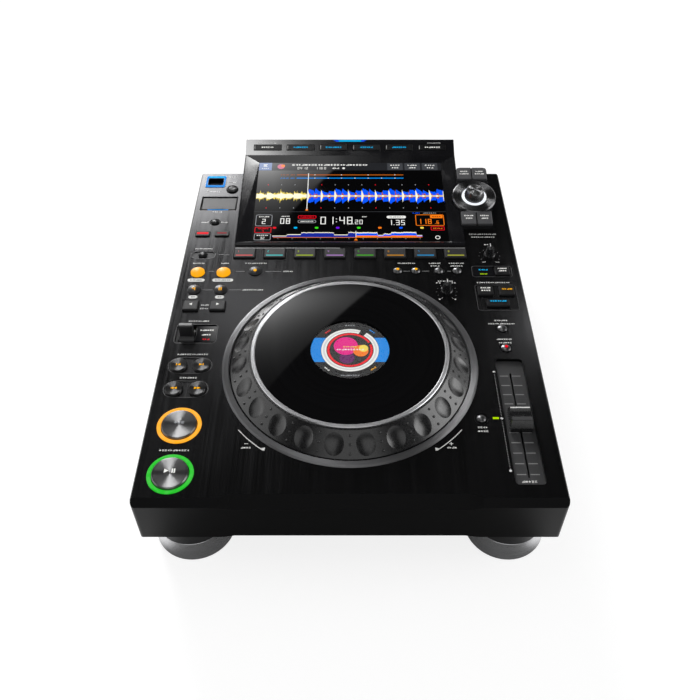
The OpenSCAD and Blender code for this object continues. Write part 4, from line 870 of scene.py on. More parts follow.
CHROME_KEYS = Finish("small key chrome", (0.11, 0.11, 0.112), 0.34, 1.0)
BUTTON_BLACK = Polished("button lacquer", (0.014, 0.014, 0.015), 0.42, 0.0, 0.4)
BUTTON_AMBER = Lit("lit amber dome", rgb(255, 174, 4), 0.42, specular=0.25, glow=0.95, scale=90.0)
KNOB_BLACK = Moulded("knob plastic", rgb(22, 22, 23), 0.24, scale=2200.0, depth=0.06)
KNOB_METAL = Finish("knurled knob metal", (0.13, 0.13, 0.133), 0.26, 1.0)
SHAFT_STEEL = Finish("shaft steel", (0.55, 0.55, 0.55), 0.25, 1.0)
CLEAR = ClearWindow("clear jog window", (1.0, 1.0, 1.0), 0.0, 0.0, 0.5)


def rubber(name: str, shown: Color, rough: float, specular: float, depth: float = 0.15) -> Moulded:
    """Fine-grained rubber of keys, in a colour that a screen shows."""
    return Moulded(name, rgb(*shown), rough, specular=specular, scale=2600.0, depth=depth)


KEY_RUBBER = rubber("key rubber", (20, 20, 21), 0.42, 0.12)
STRIP_RUBBER = rubber("strip key rubber", (7, 7, 8), 0.3, 0.22, 0.1)
HOT_CUE_RUBBER = rubber("hot cue rubber", (21, 21, 22), 0.5, 0.18)
KEY_GREY = rubber("grey key rubber", (30, 30, 31), 0.5, 0.18)
POD_KEY = rubber("selector key rubber", (70, 70, 72), 0.45, 0.3)
DOOR_GREY = rubber("card door rubber", (62, 62, 63), 0.5, 0.3)


def cap_finish(name: str, centre: Flat, tone: float = 0.16) -> Spun:
    """Spun metal of a round cap, turned about the cap's own centre."""
    return Spun(name, (tone, tone, tone * 1.01), 0.37, 0.93, centre=(*centre, 0.0), stretch=1.0,
                pitch=3000.0, tone=0.12, depth=0.01)


class Ink(Enum):
    """Colours of prints and of lit marks: the numbers that a screen shows, and the glow."""

    SILVER = (206, 206, 204, 0.0)
    GREY = (122, 122, 122, 0.0)
    DIM = (58, 58, 59, 0.0)
    DARK = (10, 10, 11, 0.0)
    RING_RED = (150, 20, 18, 0.0)
    RING_WHITE = (210, 210, 206, 0.0)
    RING_ORANGE = (196, 92, 18, 0.0)
    WHITE = (236, 236, 232, 1.0)
    SOFT_WHITE = (150, 152, 156, 1.0)
    SLATE = (62, 64, 68, 1.0)
    BAR = (34, 35, 38, 1.0)
    COAL = (13, 13, 14, 1.0)
    PALE = (212, 212, 212, 1.0)
    STEEL = (104, 124, 168, 1.0)
    PINK = (196, 96, 128, 1.0)
    CREAM = (250, 244, 214, 1.0)
    YELLOW = (240, 214, 84, 1.0)
    ORANGE = (240, 120, 20, 1.0)
    AMBER = (255, 180, 8, 1.0)
    RED = (232, 16, 34, 1.0)
    DEEP_RED = (132, 22, 30, 1.0)
    BLUE = (8, 84, 246, 1.0)
    SKY = (0, 132, 222, 1.0)
    NAVY = (22, 40, 150, 1.0)
    CYAN = (0, 176, 236, 1.0)
    RUST = (168, 84, 18, 1.0)
    MAGENTA = (226, 18, 132, 1.0)
    PLUM = (96, 20, 92, 1.0)
    GREEN = (60, 220, 30, 1.0)
    LIME = (170, 210, 0, 1.0)
    PURPLE = (110, 20, 230, 1.0)
    CUE_RED = (190, 80, 80, 1.0)
    CUE_TEAL = (70, 170, 170, 1.0)
    CUE_OLIVE = (140, 160, 30, 1.0)
    CUE_MAUVE = (150, 110, 170, 1.0)
    CUE_GREEN = (60, 150, 30, 1.0)
    CUE_ORANGE = (170, 115, 25, 1.0)
    CUE_BLUE = (30, 120, 170, 1.0)
    CUE_SAND = (150, 150, 50, 1.0)

    def finish(self, gloss: float) -> Finish:
        """Lit or printed finish of the ink.

        Args:
            gloss: its roughness; a lit mark under glass is below 0.1, and keeps its reflection.

        Returns:
            The finish.
        """
        *shown, glow = self.value
        label = f"{self.name.lower().replace('_', ' ')} {'light' if glow else 'print'} {gloss:.2f}"
        if glow:
            return Lit(label, rgb(*shown), gloss, specular=0.5 if gloss < 0.1 else 0.02, glow=glow,
                       unevenness=0.06)
        return Finish(label, rgb(*shown), gloss, specular=0.2)


@dataclass
class Inks:
    """Marks in several inks on one body, with the face and the lift that most of them have."""

    prefix: str
    body: str = "chassis"
    surface: Surface = Surface()
    lift: float = 0.06
    gloss: float = 0.4
    stamps: dict[Ink, Stamp] = field(default_factory=dict)

    def stamp(self, ink: Ink) -> Stamp:
        """The stamp of an ink, named for it.

        Args:
            ink: the ink.

        Returns:
            The stamp, a new one where the ink had none.
        """
        if ink not in self.stamps:
            name = f"{self.prefix}_{ink.name.lower()}"
            self.stamps[ink] = Stamp(name, ink.finish(self.gloss), self.body)
        return self.stamps[ink]

    def put(self, ink: Ink, shapes: Outline | Outlines, lift: float | None = None,
            surface: Surface | None = None, depth: float = 0.1) -> "Inks":
        """Adds plates in an ink.

        Args:
            ink: the ink.
            shapes: one outline or several, in millimetres.
            lift: height of their tops over the face, where it isn't the usual one.
            surface: the face that they lie on, where it isn't the usual one.
            depth: how far they reach down from there.

        Returns:
            The inks themselves.
        """
        self.stamp(ink).put(shapes, surface or self.surface, self.lift if lift is None else lift,
                            depth)
        return self

    def frame(self, ink: Ink, width: float, length: float, corner: float, at: Flat,
              line_width: float) -> "Inks":
        """Adds a rounded rectangular line in an ink.

        Args:
            ink: the ink.
            width: its outer size across.
            length: its outer size along.
            corner: outer radius of its corners.
            at: its middle.
            line_width: width of the line.

        Returns:
            The inks themselves.
        """
        corner = max(corner, line_width * 1.2)
        inner = plate(width - 2 * line_width, length - 2 * line_width, corner - line_width, at)
        outer = plate(width, length, corner, at)
        self.stamp(ink).band(outer, inner, self.surface, self.lift)
        return self

    def build(self) -> None:
        """Makes a piece of each ink."""
        for stamp in self.stamps.values():
            stamp.build()


# ---- case --------------------------------------------------------------------------------------


@dataclass
class Case:
    """Deck, pan, rear panel, feet and everything inside them, and the prints on the deck.

    A caption or a pill is (x, y, width), a rule (left, right, y), and a recess (x, y, width,
    length, corner).
    """

    line_width: float = 0.5
    caption: float = 2.0
    pill: float = 4.4
    recess_margin: float = 0.7
    cue_line: Flat = (10.0, 115.0)
    cue_line_y: float = 68.1
    captions: Table = (
        (-129.0, 190.0, 9.0), (-129.0, 180.0, 8.0), (-148.0, 163.0, 15.0), (-139.5, 127.0, 11.0),
        (-150.5, 109.5, 8.0), (-130.5, 109.5, 8.0), (-146.0, 67.0, 18.0), (-148.0, 45.0, 12.0),
        (-122.5, 45.0, 8.0), (-92.0, 45.0, 22.0), (-60.0, 33.0, 10.0), (-92.0, 6.7, 20.0),
        (-135.0, -14.0, 8.0), (-135.0, -18.6, 8.0), (-137.5, -35.0, 19.0), (-137.5, -76.0, 27.0),
        (-137.5, -103.0, 15.0), (-138.0, -178.0, 24.0), (-82.0, -175.5, 8.0),
        (80.0, -175.5, 8.0), (135.0, 90.0, 28.0), (135.0, 85.4, 24.0), (137.0, 17.0, 32.0),
        (137.5, -34.2, 12.0), (137.5, -38.4, 25.0), (137.5, -57.8, 14.0), (137.5, -62.0, 12.0),
        (106.7, -155.6, 8.5), (106.7, -159.4, 8.5), (83.0, 45.0, 12.0), (83.0, 41.0, 9.0),
        (104.0, 45.0, 15.5), (104.0, 41.0, 12.0), (55.2, 45.0, 18.0), (91.3, 19.0, 15.0),
        (138.0, 73.6, 7.0))
    rules: Table = (
        (-130.0, -119.5, 58.0), (-137.0, -132.0, 33.0), (-111.0, -102.0, 33.0),
        (-82.0, -67.0, 33.0), (-140.0, -130.0, 6.7), (-115.0, -103.0, 6.7), (52.0, 58.5, 33.4),
        (70.0, 77.0, 33.4), (94.5, 98.0, 33.4))
    recesses: Table = (
        (-145.5, 57.5, 23.0, 10.6, 5.3), (-137.9, -50.8, 36.5, 22.5, 3.0),
        (137.8, -3.7, 37.5, 33.5, 2.0), (137.6, 33.0, 37.6, 14.6, 2.0),
        (-138.0, -89.0, 37.0, 17.0, 8.5), (-138.0, -115.5, 37.0, 17.0, 8.5))
    pills: Table = (
        (-147.7, 20.5, 16.5), (-122.0, 20.5, 20.0), (-147.5, -3.0, 8.5), (-122.5, -3.0, 8.5))

    def dress(self) -> None:
        """Gives the case and its inner parts their finishes."""
        dress(upper_case=DECK, lower_case=PAN, rear_panel=BLACK_STEEL,
              rear_sockets=SOCKET_PLASTIC, case_screws=SCREW_STEEL, feet=FOOT_ALUMINIUM,
              foot_pads=PAD_RUBBER, circuit_boards=BOARD, media_sockets=SOCKET_METAL,
              power_switch=KEY_RUBBER)

    def prints(self) -> None:
        """Printed captions, rules, pill marks and recess lines of the deck."""
        inks = Inks("deck_print")
        for i, (x, y, width) in enumerate(self.captions):
            inks.put(Ink.SILVER, row(width, self.caption, (x, y), i))
        for left, right, y in self.rules:
            inks.put(Ink.GREY, line((left, y), (right, y), self.line_width))
        for x, y, width in self.pills:
            inks.put(Ink.SILVER, plate(width, self.pill, self.pill / 2, (x, y)))
            inks.put(Ink.DARK, row(width - 5.0, 1.9, (x, y), 2), 0.1)
        for x, y, width, length, corner in self.recesses:
            inks.frame(Ink.DIM, width + 2 * self.recess_margin, length + 2 * self.recess_margin,
                       corner + self.recess_margin, (x, y), 0.6)
        start, end = ((x, self.cue_line_y) for x in self.cue_line)
        inks.put(Ink.GREY, mirrored(line(start, end, 1.3)))
        inks.build()


@dataclass
class JogArrows:
    """The two curved arrows in front of the jog wheel."""

    radius: float = 116.2
    start: float = 219.5
    end: float = 234.0
    stroke: float = 0.7

    def build(self) -> None:
        """An arc at each side with its arrowhead, a minus at the left and a plus at the right."""
        inks = Inks("jog_arrow")
        centre, half = JOG_CENTRE[:2], self.stroke / 2
        bow = arc(self.radius - half, self.radius + half, self.start, self.end, centre, 1.0)
        tip = math.radians(self.end + 0.6)
        tip_at = np.array(centre) + self.radius * np.array([math.cos(tip), math.sin(tip)])
        head = outline([(0.0, 0.0), (-2.6, 2.6), (0.4, 3.4)]) + tip_at
        inks.put(Ink.SILVER, mirrored(bow) + mirrored(head))
        inks.put(Ink.SILVER, Mark.MINUS.shapes(3.0, (-82.0, -171.6)))
        inks.put(Ink.SILVER, Mark.PLUS.shapes(3.0, (80.0, -171.6)))
        inks.build()


@dataclass
class RearSide:
    """Metal and coloured parts of the rear sockets; places across are seen from behind."""

    y: float = 195.9
    z: float = 67.2
    inlet: float = -92.0
    network: float = -22.0
    data: float = 8.0
    contacts: int = 8
    contact_pitch: float = 1.02
    barrel: Flat = (4.3, 1.75)
    ring: Flat = (5.5, 4.4)
    jacks: Table = ((58.0, Ink.RING_ORANGE), (82.0, Ink.RING_WHITE), (98.0, Ink.RING_RED))
    pins: tuple[Flat, ...] = ((7.0, 2.0), (-7.0, 2.0), (0.0, -2.0))

    def face(self, across: float) -> Surface:
        """The rear panel, with its origin at a socket's middle."""
        return Surface((-across, self.y, self.z), (-1.0, 0.0, 0.0), (0.0, 0.0, 1.0))

    def build(self) -> None:
        """Pin jack barrels and their coloured rings, socket shells, contacts and mains pins."""
        metal = Stamp("rear_socket_metal", SOCKET_METAL, slot="socket_metal")
        rings = Inks("rear_socket_ring")
        for across, ink in self.jacks:
            face = self.face(across)
            metal.band(*map(disc, self.barrel), face, 9.08, 7.3)
            rings.stamp(ink).band(*map(disc, self.ring), face, 1.7, 0.15)
        rings.build()
        data, network = self.face(self.data), self.face(self.network)
        metal.band(plate(8.7, 7.9, 1.2), plate(7.9, 7.1, 1.0), data, 0.75, 8.0)
        metal.band(plate(11.9, 7.3, 0.3), plate(11.1, 6.5, 0.2), network, 0.7, 9.0)
        metal.put([plate(2.2, 4.2, 0.3, at) for at in self.pins], self.face(self.inlet), -0.9, 12.0)
        metal.build()
        contacts = Stamp("network_contacts", CONTACT_GOLD)
        for i in range(self.contacts):
            at = (self.contact_pitch * (i - (self.contacts - 1) / 2), 2.9)
            contacts.put(plate(0.5, 0.5, 0, at), network, -0.6, 7.0)
        contacts.build()


# ---- jog wheel ---------------------------------------------------------------------------------


@dataclass
class JogWheel:
    """Jog wheel: ring, wheel, glossy plate, window, and the picture on the display under it."""

    rim_radius: float = 103.3
    slope_top: float = 86.5
    slope_foot: float = 93.8
    top: float = 109.0
    bump_radius: float = 1.2
    bump_rows: tuple[float, ...] = (89.6, 94.9, 100.2)
    bumps: int = 24
    bump_sides: int = 8
    edge_radius: float = 85.7
    teeth: int = 150
    tooth: float = 0.16
    display: float = 106.5
    tab_radii: Flat = (33.6, 24.9)
    tab_half: float = 14.0
    window_top: float = 109.4
    border: Flat = (36.3, 33.7)

    def dress(self) -> None:
        """Gives the wheel's solids their finishes."""
        dress(jog_surround_ring=RING_METAL, jog_post=POST_METAL, bearing_inner_race=BEARING_STEEL,
              bearing_outer_race=BEARING_STEEL, jog_display=WINDOW_BLACK,
              jog_wheel=WHEEL_PLASTIC, jog_top_plate=PLATE_GLOSS, jog_window=CLEAR,
              jog_trim_ring=TRIM_CHROME)

    def small_bumps(self) -> None:
        """Three small domes in a row between the dimples.

        A dome's point is at radius a·sin(t) from its own centre and height a·0.8·cos(t) over the
        slope, for t from 0 to a little past 90 degrees; all domes are one array. One dome has a
        tip and three rings of points, joined by triangles, two rows of quads and a base.
        """
        n = self.bump_sides
        turn = np.arange(n) * FULL_TURN / n
        t = np.radians([38.0, 70.0, 100.0])[:, None]
        rings = np.stack([np.sin(t) * np.cos(turn), np.sin(t) * np.sin(turn),
                          0.8 * np.cos(t) + 0 * turn], -1)
        local = np.concatenate([[(0.0, 0.0, 0.8)], rings.reshape(-1, 3)]) * self.bump_radius
        tilt = math.atan2(self.top - self.slope_foot, self.rim_radius - self.slope_top)
        out = local[:, 0] * math.cos(tilt) + local[:, 2] * math.sin(tilt)
        high = local[:, 2] * math.cos(tilt) - local[:, 0] * math.sin(tilt)
        radius = np.repeat(self.bump_rows, self.bumps)
        turns = np.arange(self.bumps) * FULL_TURN / self.bumps + math.pi / 2
        angle = np.tile(turns, len(self.bump_rows))[:, None]
        foot = np.interp(radius, [self.slope_top, self.rim_radius], [self.top, self.slope_foot])
        r = radius[:, None] + out
        x = r * np.cos(angle) - local[:, 1] * np.sin(angle)
        y = r * np.sin(angle) + local[:, 1] * np.cos(angle)
        points = np.stack([x, y, foot[:, None] + high], -1).reshape(-1, 3) + JOG_CENTRE
        one = [[0, 1 + i, 1 + (i + 1) % n] for i in range(n)]
        for k in (1, 1 + n):
            one += [[k + i, k + n + i, k + n + (i + 1) % n, k + (i + 1) % n] for i in range(n)]
        one.append(list(range(3 * n, 2 * n, -1)))
        faces = [[c + len(local) * j for c in face] for j in range(len(radius)) for face in one]
        piece("jog_wheel_bumps", points * MM, faces, WHEEL_PLASTIC, "jog", True)

    def serrated_edge(self) -> None:
        """Thin serrated ring under the bright one: its radius is R + tooth·cos(teeth·angle).

        A corner of its section is (outwards, up, whether it follows the wave).
        """
        turn = np.linspace(0, FULL_TURN, 900, endpoint=False)
        wave = self.tooth * np.cos(self.teeth * turn)
        section = ((-0.75, 0.0, 0), (-0.75, 0.75, 0), (0.1, 0.75, 1), (0.32, 0.45, 1),
                   (0.32, 0.0, 1))
        rows = []
        for out, up, follows in section:
            r = self.edge_radius + out + wave * follows
            rows.append(np.stack([r * np.cos(turn), r * np.sin(turn),
                                  0 * turn + self.top + up - 0.1], 1))
        points = np.concatenate(rows) + JOG_CENTRE
        piece("jog_serrated_edge", points * MM, grid_faces(len(section), len(turn)),
              WHEEL_PLASTIC, "jog")

    def picture(self) -> None:
        """Generic dial on the fixed display: rings, side tabs, small captions and three discs.

        A side tab is the strip |y| < h between the circles of radius a and b: its corners lie on
        them at the angles arcsin(h / a) and arcsin(h / b).
        """
        inks = Inks("jog_dial", surface=Surface((*JOG_CENTRE[:2], self.display)), gloss=0.3)
        inks.put(Ink.COAL, disc(33.8, sides=72), 0.03)
        for ink, inner, outer, cuts, lift in (
                (Ink.WHITE, 20.2, 24.6, (68, 241, 414), 0.08),
                (Ink.PALE, 21.5, 23.1, (68, 241, 414), 0.1),
                (Ink.RED, 17.5, 19.5, (27, 203, 379), 0.08)):
            for start, end in zip(cuts, cuts[1:]):
                inks.put(ink, arc(inner, outer, start, end, step=3.0), lift)
        bend = np.radians(np.linspace(-1, 1, 13))[:, None]
        edges = []
        for r in self.tab_radii:
            reach = bend * math.degrees(math.asin(self.tab_half / r))
            edges.append(r * np.concatenate([np.cos(reach), np.sin(reach)], 1))
        inks.put(Ink.SKY, mirrored(np.concatenate([edges[0], edges[1][::-1]])))
        inks.put(Ink.DARK, disc(17.4, sides=48), 0.05)
        for radius, at, ink, lift in (
                (10.4, (-3.6, 4.4), Ink.MAGENTA, 0.08), (6.4, (-2.6, -9.4), Ink.PLUM, 0.07),
                (6.6, (9.2, -1.2), Ink.ORANGE, 0.1), (4.0, (11.6, 1.6), Ink.YELLOW, 0.12)):
            inks.put(ink, disc(radius, at, 40), lift)
        inks.put(Ink.YELLOW, row(12.0, 1.9, (0.0, 3.4), 2), 0.14)
        inks.put(Ink.WHITE, row(24.0, 2.2, (0.0, 0.2), 5), 0.14)
        for turn, width, ink in (
                (42, 6.0, Ink.RED), (0, 9.0, Ink.SOFT_WHITE), (-42, 6.0, Ink.SKY),
                (138, 6.0, Ink.WHITE), (180, 16.0, Ink.SOFT_WHITE), (222, 6.0, Ink.AMBER)):
            lower = 90 < turn < 270
            angle = math.radians(turn - 180 if lower else turn)
            spin = np.array([[math.cos(angle), math.sin(angle)],
                             [-math.sin(angle), math.cos(angle)]])
            words = row(width, 2.0, (0.0, -29.0 if lower else 29.0), abs(turn))
            inks.put(ink, [shape @ spin for shape in words])
        for turn in (110, 70, 250, 290):
            inks.put(Ink.SLATE, arc(28.8, 29.1, turn - 9, turn + 9))
        inks.build()

    def mask(self) -> None:
        """Black border printed on the window, which covers the edge of the display under it."""
        face = Surface((*JOG_CENTRE[:2], self.window_top))
        edges = (disc(radius, sides=96) for radius in self.border)
        border = Stamp("jog_window_border", PLATE_GLOSS, "jog", "plate_gloss")
        border.band(*edges, face, 0.03, 0.05).build()

    def build(self) -> None:
        """Dresses the wheel and builds its pieces."""
        self.dress()
        self.small_bumps()
        self.serrated_edge()
        self.picture()
        self.mask()


# ---- buttons, keys and knobs -------------------------------------------------------------------


@dataclass
class RoundButton:
    """Round button: its middle, the height and roundness of its cap, and the mark on it."""

    node: str
    at: Flat
    top: float
    finish: Finish
    bulge: float = 0.0

    def build(self, ink: Ink, marks: Outlines, lift: float = 0.05) -> None:
        """Dresses the cap and lays its mark on it.

        Args:
            ink: the mark's ink.
            marks: the mark's shapes, from the middle of the cap.
            lift: height of the mark over the cap.
        """
        dress(**{self.node: self.finish})
        face = Surface((*self.at, DECK_TOP + self.top), bulge=self.bulge)
        Inks(f"{self.node}_mark", self.node, face).put(ink, marks, lift).build()


@dataclass
class LeftSide:
    """Everything on the deck to the left of the jog wheel."""

    play: Flat = (-137.7, -200.0)
    cue: Flat = (-137.7, -153.5)
    cap_top: float = 2.2
    pair_x: Flat = (-148.0, -128.0)
    track_y: float = -89.0
    search_y: float = -115.5
    loop_exit: Point = (-91.8, 31.8, 95.6)
    beat_y: float = 6.5
    beat_x: Flat = (-147.5, -122.5)
    jump_top: float = 95.5
    jump_y: float = -15.0
    lever: Flat = (-145.9, -50.8)
    window: Point = (-128.7, -50.6, 92.4)
    stop: Flat = (-128.0, 167.0)
    time: Flat = (-146.0, 57.5)
    quantize: Flat = (-140.0, 109.5)
    key_top: float = 94.6
    door: Flat = (-139.5, 142.8)
    usb: Flat = (-147.3, 181.0)

    def transport(self) -> None:
        """Play and cue buttons with their lit rings, track and search buttons."""
        dress(light_rings=LIGHT_PIPES)
        playing = Mark.PLAY.shapes(3.9, (-3.0, 1.6)) + Mark.PAUSE.shapes(3.9, (2.6, 1.6))
        for name, at, ink, marks in (
                ("play", self.play, Ink.WHITE, playing),
                ("cue", self.cue, Ink.SOFT_WHITE, row(8.6, 2.9, (0.0, 1.4), 3))):
            finish = cap_finish(f"{name} cap", at)
            RoundButton(f"{name}_button", at, self.cap_top, finish, 180).build(ink, marks)
        pairs = ((self.track_y, "track", Mark.SKIP_LEFT, Mark.SKIP_RIGHT),
                 (self.search_y, "search", Mark.FAST_LEFT, Mark.FAST_RIGHT))
        for y, name, *marks in pairs:
            for x, way, mark in zip(self.pair_x, ("back", "forward"), marks):
                finish = cap_finish(f"{name} {way} dome", (x, y), 0.055)
                RoundButton(f"{name}_{way}_button", (x, y), 1.5, finish, -60).build(
                    Ink.AMBER, [shape * (1.0, 0.62) for shape in mark.shapes(4.4)], 0.12)

    def loops(self) -> None:
        """Loop and beat-loop domes and the beat-jump keys."""
        dress(loop_in_button=BUTTON_AMBER, loop_out_button=BUTTON_AMBER,
              loop_exit_button=BUTTON_BLACK, beat_jump_keys=KEY_GREY)
        lamp = Inks("loop_exit_mark", "loop_exit_button", Surface(self.loop_exit), 0.45)
        lamp.put(Ink.AMBER, disc(1.6), depth=0.5).build()
        for x, value in zip(self.beat_x, "48"):
            digit = [shape * (1.55, 1.0) for shape in number(value, 3.7, (0.0, -1.0), 0.13)]
            RoundButton(f"beat_loop_{value}_button", (x, self.beat_y), 3.0, BUTTON_BLACK,
                        10.6).build(Ink.AMBER, digit, 0.12)
        keys = Inks("beat_jump_mark", "beat_jump_keys", level(self.jump_top))
        for x, mark in ((-147.6, Mark.LEFT), (-122.6, Mark.PLAY)):
            keys.put(Ink.WHITE, mark.shapes(3.2, (x, self.jump_y)))
        keys.build()

    def utilities(self) -> None:
        """Time, slip, quantize, chrome and stop buttons."""
        dress(utility_keys=KEY_RUBBER)
        keys = Inks("utility_light", "utility_keys", level(self.key_top))
        keys.put(Ink.RED, plate(11.6, 3.2, 0.6, (-150.05, 89.9)))
        keys.put(Ink.DEEP_RED, plate(9.6, 2.0, 0.4, (-130.55, 90.2)))
        keys.build()
        face = Surface((*self.stop, DECK_TOP))
        cap = Stamp("stop_cap", cap_finish("stop cap", self.stop, 0.04), "utility_keys")
        cap.put(disc(3.7), face, 1.86, 0.2).build()
        collar = Stamp("stop_ring", DEAD_BLACK, "utility_keys")
        collar.band(disc(4.95), disc(3.72), face, 1.86, 0.2).build()
        for name, at in (("time", self.time), ("quantize", self.quantize)):
            dome = Stamp(f"{name}_cap", cap_finish(f"{name} cap", at, 0.1), "utility_keys")
            for outer, inner in ((3.4, 2.3), (2.3, 1.2), (1.2, 0.06)):
                dome.band(disc(outer), disc(inner), Surface((*at, 94.8), bulge=5.8), 0.06, 0.2)
            dome.build()

    def media(self) -> None:
        """Card door with a painted shadow in the gap and the light round it, and the frame of the
        USB port with a painted shadow in its notch.
        """
        dress(card_door=DOOR_GREY)
        x, y = self.door
        # Black plates along the sides and front of the door: painted shadow in the gap round it.
        gap = Stamp("card_door_gap_shadow", DEAD_BLACK)
        for width, length, corner, at in (
                (38.6, 1.7, 0.5, (x, y - 11.85)), (1.4, 22.4, 0.3, (x - 18.6, y + 0.2)),
                (1.4, 22.4, 0.3, (x + 18.6, y + 0.2))):
            gap.put(plate(width, length, corner, at), Surface(), 0.04, 0.06)
        gap.build()
        port, pocket = Surface((*self.usb, 93.4)), Surface((*self.usb, 87.0))
        lights = Inks("side_light", lift=0.12)
        lights.put(Ink.SKY, plate(22.0, 1.1, 0.4, (x, 130.9)))
        lights.put(Ink.CYAN, plate(17.4, 2.9, 0.4, (0.0, 8.4)), surface=port)
        lights.build()
        light = Stamp("usb_light", Ink.SKY.finish(0.45))
        light.band(plate(21.3, 20.8, 1.5), plate(17.2, 13.2, 1.0), port, 0.04).build()
        Stamp("usb_collar", FADER_PLATE).band(plate(16.6, 12.6), plate(13.6, 6.2), pocket).build()
        # Dark half disc on the floor of the port's pocket: painted shadow of the finger notch.
        notch = Stamp("usb_notch", SOCKET_PLASTIC)
        notch.put(arc(0.0, 4.6, 0.0, 180.0, (0.0, -6.2)), pocket, 0.12, 0.05).build()

    def direction(self) -> None:
        """Direction lever with a painted highlight along its crest and a grey band on its front
        slope, and the small window beside it.
        """
        dress(direction_lever=BUTTON_BLACK, indicator_windows=WINDOW_BLACK)
        x, y = self.lever
        highlight_bands = Inks("direction_bar", "direction_lever", level(105.0), gloss=0.45)
        # Light grey plate along the lever's crest: a painted highlight.
        highlight_bands.put(Ink.GREY, plate(11.2, 2.8, 0.6, (x, y)))
        highlight_bands.put(Ink.DIM, plate(19.2, 1.5), surface=tilted((x, y - 6.05, 91.45), 45.0))
        highlight_bands.build()
        marks = Inks("direction_mark", surface=Surface(self.window))
        marks.put(Ink.WHITE, row(12.5, 2.1, (0.0, 4.6), 1) + row(8.0, 2.1, (0.0, -1.0), 4))
        marks.put(Ink.RED, row(7.0, 2.1, (0.0, -6.6), 5))
        marks.build()

    def build(self) -> None:
        """Builds every group of the side."""
        for group in (self.transport, self.loops, self.utilities, self.media, self.direction):
            group()


@dataclass
class HotCues:
    """Eight hot-cue keys with their colour bars, and the small buttons in front of them."""

    pitch: float = 29.86
    y: float = 59.0
    top: float = 95.0
    bar: Flat = (16.6, 1.7)
    inks: tuple[Ink, ...] = (Ink.CUE_RED, Ink.CUE_TEAL, Ink.CUE_OLIVE, Ink.CUE_MAUVE,
                             Ink.CUE_GREEN, Ink.CUE_ORANGE, Ink.CUE_BLUE, Ink.CUE_SAND)
    lamps: tuple[Flat, ...] = ((46.3, 34.0), (64.0, 34.0))
    lamp_top: float = 95.4

    def build(self) -> None:
        """Dresses the keys and lays a bar and a small digit on each."""
        for i, ink in enumerate(self.inks):
            node, x = f"hot_cue_{i + 1}", (i - 3.5) * self.pitch
            dress(**{node: HOT_CUE_RUBBER})
            digit = number(str(i + 1), 2.8, (x - 6.6, self.y + 1.9), 0.16)
            colour_bar = plate(*self.bar, 0.5, (x, self.y - 4.1))
            Inks(f"{node}_mark", node, level(self.top)).put(ink, [colour_bar, *digit]).build()
        dress(cue_memory_keys=CHROME_KEYS)
        dots = Inks("cue_memory_mark", "cue_memory_keys", level(self.lamp_top), 0.1)
        dots.put(Ink.AMBER, [disc(1.5, at) for at in self.lamps]).build()


